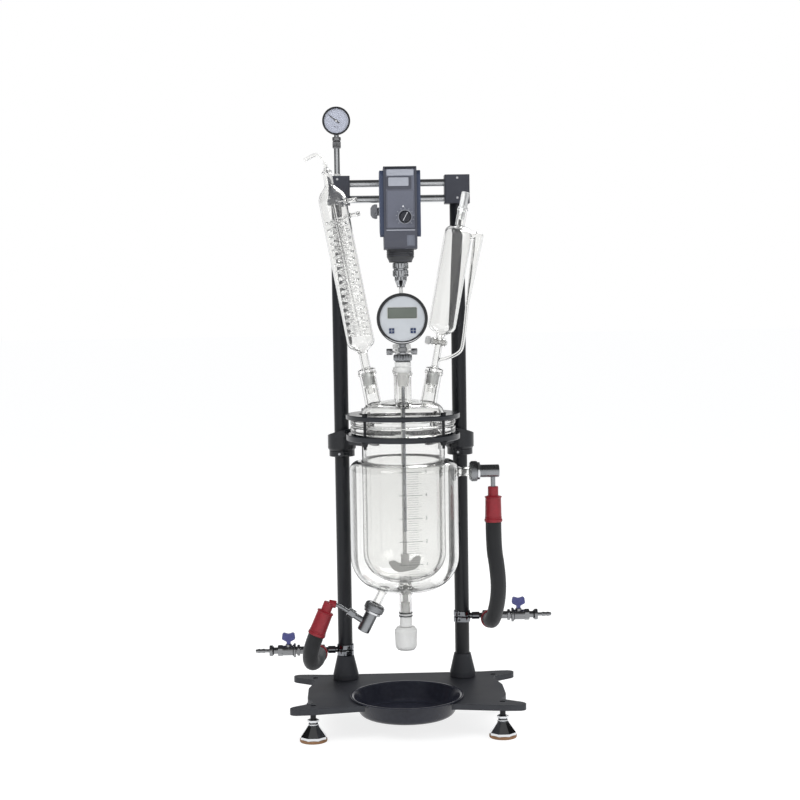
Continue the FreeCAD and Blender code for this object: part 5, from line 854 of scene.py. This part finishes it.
# Chuck, shaft and paddle: a three-jaw chuck of bright steel with a fluted sleeve in two
# parts, a steel shaft coated in white fluoroplastic, and a half-moon paddle on a pin. The
# bare steel mirrors in sharp bands between its flutes, and the coating stays waxy.
chuck_steel = surface("bright_chuck_steel", "#9c9ea1", "#bcbec1", 0.8, 0.01, (0.08, 0.16), metallic=1.0)
chuck_spot = at(0, vessel_y, 992.7)
chuck_core = turned("chuck_core", [
    (0, 16), (7, 16), (7, 0), (14.6, -0.2, 0.6), (14.6, -29.6), (12.8, -29.6), (12.8, -37, 2), (9, -47),
    (6.2, -50.5, 1), (0, -50.5)], chuck_spot, chuck_steel, "stirring_train")
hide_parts("chuck")
for label, top, low in (("upper", -0.6, -13.2), ("lower", -15.6, -29.2)):
    turned(f"chuck_{label}_sleeve", [
        (14, top), (15.4, top, 0.5), (16.6, top - 1.2), (16.6, top - 1.6), (16.6, low + 1.6),
        (16.6, low + 1.2), (15.4, low, 0.5), (14, low)],
        chuck_spot, chuck_steel, "stirring_train", 4, 208, (13, 2.2, low + 1.6, top - 1.6))
for k in range(3):
    jaw = chuck_spot @ Matrix.Rotation(math.radians(90 + 120 * k), 4, "Z")
    slot = jaw @ Matrix.Rotation(math.radians(60), 4, "Z")
    plate(f"chuck_jaw_{k}", 4.4, 3.6, -51.4, -40, jaw @ Matrix.Translation((0.0062, 0, 0)), chrome,
          "stirring_train", 0.6, 0.3)
    plate(f"chuck_slot_{k}", 1.4, 2.2, -39, -30.2, slot @ Matrix.Translation((0.0127, 0, 0)), blackened,
          "stirring_train", 0, 0.1)
dress(ptfe, "stirring_shaft", "paddle", "shaft_seal", "probe_adapter", "funnel_key")
for side, sign in both_sides:
    turned(f"seal_thumb_disc_{side}", [
        (0, 19.2), (5.6, 19.2, 0.6), (6.5, 20.2), (6.6, 20.8), (6.6, 31), (6.5, 31.6), (5.6, 32.4, 0.6),
        (0, 32.4)], at(0, vessel_y, 807, 90 * sign), bright_screw, "stand", 4, 180, (24, 0.7, 20.8, 31))

# Thermometer: a black plastic case with a silver printed face, a liquid crystal display and
# two navy keys, on a steel stem with a fluted star nut and a long wound steel probe. The
# face is pale and satin, and the display's glass is smooth over its grey-green crystal.
thermometer_spot = at(0, -88, 877) @ forwards
key_x, key_y, key_room = 22, -24.6, 10.8


def key_rooms(label):
    """The two square holes that the keys sit in."""
    holes = []
    for side, sign in both_sides:
        hole = bmesh.new()
        bmesh.ops.create_cube(hole, size=1)
        for v in hole.verts:
            v.co = Vector((v.co.x * key_room + key_x * sign, v.co.y * key_room + key_y,
                           23 + v.co.z * 6)) / 1000
        holes.append(settle(hole, f"{side}_{label}", thermometer_spot))
    return holes


case_solid = lathe("case_solid", [
    (0, 0), (44.5, 0, 3), (52.5, 7, 5), (52.5, 26, 2.2), (46.5, 26, 0.8), (46.5, 23), (0, 23)],
    thermometer_spot, sides=160)
case = joined("thermometer_shell", case_solid, [], key_rooms("case_hole"), gauge_black)
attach(case, "stand")
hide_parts("thermometer_case")
silver_print = surface("silver_printed_face", "#b7bbc0", "#c3c7cb", 26.0, 0.004, (0.34, 0.46), metallic=0.15)
face_solid = lathe("face_solid", [(0, 23.02), (46.3, 23.02), (46.3, 23.35, 0.2), (0, 23.35)],
                   thermometer_spot, sides=160)
face = joined("thermometer_face", face_solid, [], key_rooms("face_hole"), silver_print)
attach(face, "stand")
lcd_frame = surface("lcd_frame_print", "#aeb0ae", "#bbbdbb", 8.0, 0.004, (0.35, 0.45))
lcd_glass = surface("lcd_green_grey", "#5a6059", "#646a63", 30.0, 0.002, (0.12, 0.2))
upper_half = thermometer_spot @ Matrix.Translation((0, 0.0119, 0))
plate("lcd_frame", 63, 25, 23.3, 23.75, upper_half, lcd_frame, "stand", 1.2)
plate("lcd_bezel", 59.6, 22, 23.5, 23.9, upper_half, gauge_black, "stand", 1.0, 0.1)
plate("lcd_window", 58, 20.4, 23.6, 24.0, upper_half, lcd_glass, "stand", 0.8, 0.1)
key_navy = surface("navy_key_cap", "#12254a", "#192d55", 2.0, 0.01, (0.34, 0.46), edge=0.4)
dress(key_navy, "thermometer_button_left", "thermometer_button_right")
for side, sign in both_sides:
    key_top = thermometer_spot @ Matrix.Translation((key_x / 1000 * sign, key_y / 1000, 0.0246))
    body = f"thermometer_button_{side}"
    plate(f"key_bar_wide_{side}", 10.0, 0.7, 0, 0.12, key_top, silver_print, body, 0, 0)
    plate(f"key_bar_tall_{side}", 0.7, 10.0, 0, 0.12, key_top, silver_print, body, 0, 0)
# A bright chrome crescent at the foot of the bezel is a painted highlight: it stands for lamp glare on the
# bezel
shape = bmesh.new()
steps = 40
ring_rows = []
for k in range(steps + 1):
    angle = math.radians(222 + 96 * k / steps)
    thickness = 0.2 + 2.9 * math.sin(math.pi * k / steps)
    ring_rows.append([
        shape.verts.new(Vector((reach * math.cos(angle), reach * math.sin(angle), 25.95)) / 1000)
        for reach in (50.6 - thickness, 50.6)])
for low, high in zip(ring_rows, ring_rows[1:]):
    shape.faces.new((low[0], low[1], high[1], high[0]))
glare_crescent = mesh_object("thermometer_glare_crescent", settle(shape, "thermometer_glare_crescent", thermometer_spot),
                       chrome)
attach(glare_crescent, "stand")
solid = glare_crescent.modifiers.new("thickness", "SOLIDIFY")
solid.thickness = 0.0008
solid.offset = 0.0
probe_y = -101
probe_spot = at(0, probe_y, 0)
probe_rod = turned("probe_rod", [
    (0, 436), (3.4, 436, 1.5), (3.4, 440), (3.0, 440.5), (3.0, 736), (3.5, 737), (3.5, 800), (0, 800)],
    probe_spot, stainless, "stand", sides=40)
turned("probe_stem", [(0, 800), (7, 800), (7, 828.5), (0, 828.5)], probe_spot, stainless, "stand", sides=64)
turned("star_nut", [
    (3.6, 788.2), (14.5, 788.2, 0.8), (18.8, 791.6), (19.4, 793), (19.4, 800), (18.6, 802.6), (16, 804, 1),
    (7.1, 804)], probe_spot, stainless, "stand", 5, 288, (16, 2.0, 791, 803))
turned("star_washer", [(7.1, 804.1), (12, 804.1, 0.4), (12, 806.4, 0.6), (7.1, 806.4)],
       probe_spot, chrome, "stand")
faceted("probe_hexagon", 6, [(8.2, 808.6), (9.1, 809.6), (9.1, 817), (8.2, 818)],
        probe_spot, dull_nickel, "stand")
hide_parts("thermometer_probe")

winding, sizes_in = node_tree("wound_tube", (
    ("Turns", "NodeSocketFloat", 10.0), ("Radius", "NodeSocketFloat", 0.01), ("Rise", "NodeSocketFloat", 0.1),
    ("Thickness", "NodeSocketFloat", 0.001), ("Steps", "NodeSocketInt", 24), ("Sides", "NodeSocketInt", 8)))
spiral = add_node(winding, "GeometryNodeCurveSpiral", {
    "Resolution": sizes_in["Steps"], "Rotations": sizes_in["Turns"], "Start Radius": sizes_in["Radius"],
    "End Radius": sizes_in["Radius"], "Height": sizes_in["Rise"]})
ring_profile = add_node(winding, "GeometryNodeCurvePrimitiveCircle", {
    "Resolution": sizes_in["Sides"], "Radius": sizes_in["Thickness"]})
tube = add_node(winding, "GeometryNodeCurveToMesh", {
    "Curve": spiral.outputs[0], "Profile Curve": ring_profile.outputs[0], "Fill Caps": True})
real = add_node(winding, "GeometryNodeRealizeInstances", {0: tube.outputs[0]})
coated = add_node(winding, "GeometryNodeSetMaterial", {
    "Geometry": real.outputs[0], "Material": sizes_in["Material"]})
add_node(winding, "NodeGroupOutput", {0: coated.outputs[0]})
grown("probe_winding", winding, at(0, probe_y, 440), stainless, "stand",
      Turns=92.0, Radius=0.0031, Rise=0.296, Thickness=0.0009, Steps=14, Sides=6)

# Condenser: blown glass jacket with two hose nipples round a wound glass coil that is fused
# to them, on a ground joint, and a bent gas outlet on top. The coil is drawn thinner and
# clearer than the jacket, so that its many turns stay bright.


def centreline(points):
    """Points along one smooth line led by control points in mm."""
    return [v.co.copy() for v in final_mesh(smooth_curve("line", points, 10)).vertices]


def swept(name, line, radii, sides=24):
    """A closed round bar along a line, its radius in mm going evenly from the first to the last of two."""
    shape = bmesh.new()
    rings = []
    side = None
    for k, point in enumerate(line):
        ahead_dir = (line[min(k + 1, len(line) - 1)] - line[max(k - 1, 0)]).normalized()
        side = (side or ahead_dir.orthogonal()).normalized()
        side = (side - ahead_dir * side.dot(ahead_dir)).normalized()
        other = ahead_dir.cross(side)
        radius = (radii[0] + (radii[1] - radii[0]) * k / (len(line) - 1)) / 1000
        rings.append([shape.verts.new(point + side * radius * math.cos(math.tau * n / sides)
                                      + other * radius * math.sin(math.tau * n / sides))
                      for n in range(sides)])
    skinned(shape, rings)
    return settle(shape, name, Matrix())


def on_axis(x, y, z, tilt, slide):
    """A point in mm on a leaning axis in the plane of the vessel."""
    angle = math.radians(tilt)
    return (x + slide * math.sin(angle), y, z + slide * math.cos(angle))


condenser_spot = at(*condenser_axis)
nipple_lean = condenser_axis[3] + 90
shell = lathe("condenser_shell", [
    (0, 16), (9.5, 16, 1), (9.5, 28, 2), (12.7, 34, 1), (12.7, 61, 1), (18.5, 61.1, 1), (18.5, 67, 1.5),
    (9.5, 70, 3), (9.5, 104, 8), (29, 120, 16), (29, 436, 30), (9.5, 456, 10), (9.5, 481), (11, 481.6, 0.6),
    (11, 485, 1), (6.5, 489, 1.5), (4, 494, 2), (4, 499), (0, 499)], condenser_spot, 10, 96)
inside = lathe("condenser_inside", [
    (0, 15), (7, 15), (7, 108, 6), (26.5, 122, 14), (26.5, 434, 26), (7, 453, 8), (7, 480, 1.5),
    (5, 487, 1.5), (2.5, 492, 1.5), (2.5, 500), (0, 500)], condenser_spot, 10, 96)
adds = []
cuts = [inside]
nipple_spots = [at(*on_axis(*condenser_axis, height), nipple_lean) for height in (418, 388)]
for label, spot in zip(("upper", "lower"), nipple_spots):
    adds.append(lathe(f"{label}_nipple", [
        (0, 26), (6.6, 26), (4.6, 32, 3), (4.6, 42.4), (5.4, 43, 0.4), (4.5, 45.4), (5.4, 46, 0.4),
        (4.5, 48.4), (4.2, 51, 0.6), (0, 51)], spot, 6, 40))
    cuts.append(lathe(f"{label}_nipple_bore", [(0, 20), (2.6, 20), (2.6, 52), (0, 52)], spot, 6, 40))
outlet_line = centreline([
    on_axis(*condenser_axis, 497), on_axis(*condenser_axis, 507), (-162, vessel_y, 1213.5),
    (-173.5, vessel_y, 1220.5), (-196, vessel_y, 1206)])
adds.append(swept("gas_outlet", outlet_line, (4, 4)))
bore_line = [outlet_line[0] * 2 - outlet_line[1]] + outlet_line + [outlet_line[-1] * 2 - outlet_line[-2]]
cuts.append(swept("gas_outlet_bore", bore_line, (2.4, 2.4)))
condenser = joined("condenser_glass", shell, adds, cuts, glass)
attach(condenser, "stand")
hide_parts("condenser")
coil_glass = clear_glass("thin_coil_glass", "#ffffff", ior=1.2, solid=0.55)
coil_spot = at(*condenser_axis, 138.1)
coil_rise = 0.2499
coil = grown("coil_glass", winding, coil_spot, coil_glass, "stand",
             Turns=17.0, Radius=0.0205, Rise=coil_rise, Thickness=0.0032, Steps=32, Sides=12)
grown("inner_coil_glass", winding, coil_spot, coil_glass, "stand",
      Turns=27.0, Radius=0.0118, Rise=coil_rise, Thickness=0.0024, Steps=26, Sides=10)
for name, outline, spot in (
        ("coil_return_tube", [(0, 0), (3.2, 0, 1), (3.2, 280, 1), (0, 280)], coil_spot),
        ("coil_upper_link", [(0, 0), (3.2, 0), (3.2, 26.6), (0, 26.6)], nipple_spots[0]),
        ("coil_lower_link", [(0, 20), (3.2, 20), (3.2, 26.6), (0, 26.6)], nipple_spots[1])):
    turned(name, outline, spot, coil_glass, "stand", sides=24)
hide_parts("condenser_coil")
# Ground joints scatter the light that passes them, so they look frosted
frosted = clear_glass("ground_frosted_glass", "#f6f7f7", 0.45)
joint_ring = [(12.74, 34.5), (12.96, 34.5), (12.96, 60.6), (12.74, 60.6)]
turned("condenser_ground_joint", joint_ring, condenser_spot, frosted, "stand")

# Dropping funnel: a long blown bulb with a ground joint and a stopcock below, a stopper on
# top, and a pressure arm that runs down its outer side. The stopcock key is fluoroplastic.
funnel_spot = at(*funnel_axis)
bulb = lathe("funnel_bulb", [
    (0, 16), (8, 16, 1), (8, 28, 2), (12.7, 34, 1), (12.7, 61, 1), (18.5, 61.1, 1), (18.5, 67, 1.5),
    (8, 70, 3), (8, 138, 8), (29, 150, 17), (29, 365, 15), (10, 368, 3), (10, 400, 1), (11.5, 402, 1),
    (11.5, 404), (0, 404)], funnel_spot, 10, 96)
room = lathe("funnel_inside", [
    (0, 15), (5.5, 15), (5.5, 141, 5), (26.5, 152, 15), (26.5, 362.5, 13), (7.5, 365, 2), (7.5, 406),
    (0, 406)], funnel_spot, 10, 96)
cock_spot = at(*on_axis(*funnel_axis, 123), funnel_axis[3] - 90)
barrel = lathe("cock_barrel", [(0, -13), (9, -13, 1.5), (9, 13, 1.5), (0, 13)], cock_spot, 6, 48)
key_bore = lathe("key_bore", [(0, -15), (5.6, -15), (5.6, 15), (0, 15)], cock_spot, 6, 48)
arm_top = (163.5, vessel_y, 1045)
arm_foot = (138.5, vessel_y, 905)
arm_neck = [Vector(on_axis(*funnel_axis, 353)) / 1000, Vector(arm_top) / 1000]
arm_cone = [Vector(arm_top) / 1000, Vector(arm_foot) / 1000]
arm_tail = centreline([arm_foot, (131, vessel_y, 833), (122, vessel_y, 795), on_axis(*funnel_axis, 84)])
tail_bore = [arm_cone[1] * 1.02 - arm_cone[0] * 0.02] + arm_tail
arm_cap = lathe("arm_cap", [(0, -10.5), (10.5, -10.5, 10.4), (10.5, 10.5, 10.4), (0, 10.5)],
                at(*arm_top), 16, 48)
cap_room = lathe("arm_cap_room", [(0, -8.4), (8.4, -8.4, 8.3), (8.4, 8.4, 8.3), (0, 8.4)],
                 at(*arm_top), 16, 48)
funnel = joined("funnel_glass", bulb, [
    barrel, arm_cap, swept("arm_neck", arm_neck, (8, 8), 40), swept("arm_cone", arm_cone, (10.5, 3.6), 40),
    swept("arm_tail", arm_tail, (3.6, 3.6))], [
    room, key_bore, cap_room, swept("arm_neck_bore", arm_neck, (5.8, 5.8), 40),
    swept("arm_cone_bore", arm_cone, (8.4, 2.1), 40), swept("arm_tail_bore", tail_bore, (2.1, 2.1))], glass)
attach(funnel, "stand")
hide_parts("dropping_funnel")
turned("funnel_ground_joint", joint_ring, funnel_spot, frosted, "stand")
funnel_stopper = turned("funnel_stopper_glass", [
    (0, -22), (5.6, -22, 1), (7.3, 0), (10.5, 0.3, 0.3), (10.5, 4, 1), (8.4, 5.5, 0.8), (8.4, 36, 2.5),
    (0, 36)], at(*funnel_axis, 404), frosted, "funnel_stopper", 8, 64)
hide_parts("funnel_stopper")
back_stopper = turned("back_stopper_glass", [
    (0, -26), (10.9, -26, 1), (12.9, 0), (18.5, 0.3, 0.3), (18.5, 5, 1.5), (8, 8, 3), (8, 14, 3), (14, 20, 4),
    (13, 30, 5), (0, 30)], at(0, vessel_y + 55, 766), glass, "back_stopper", 8, 64)
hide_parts("back_stopper")
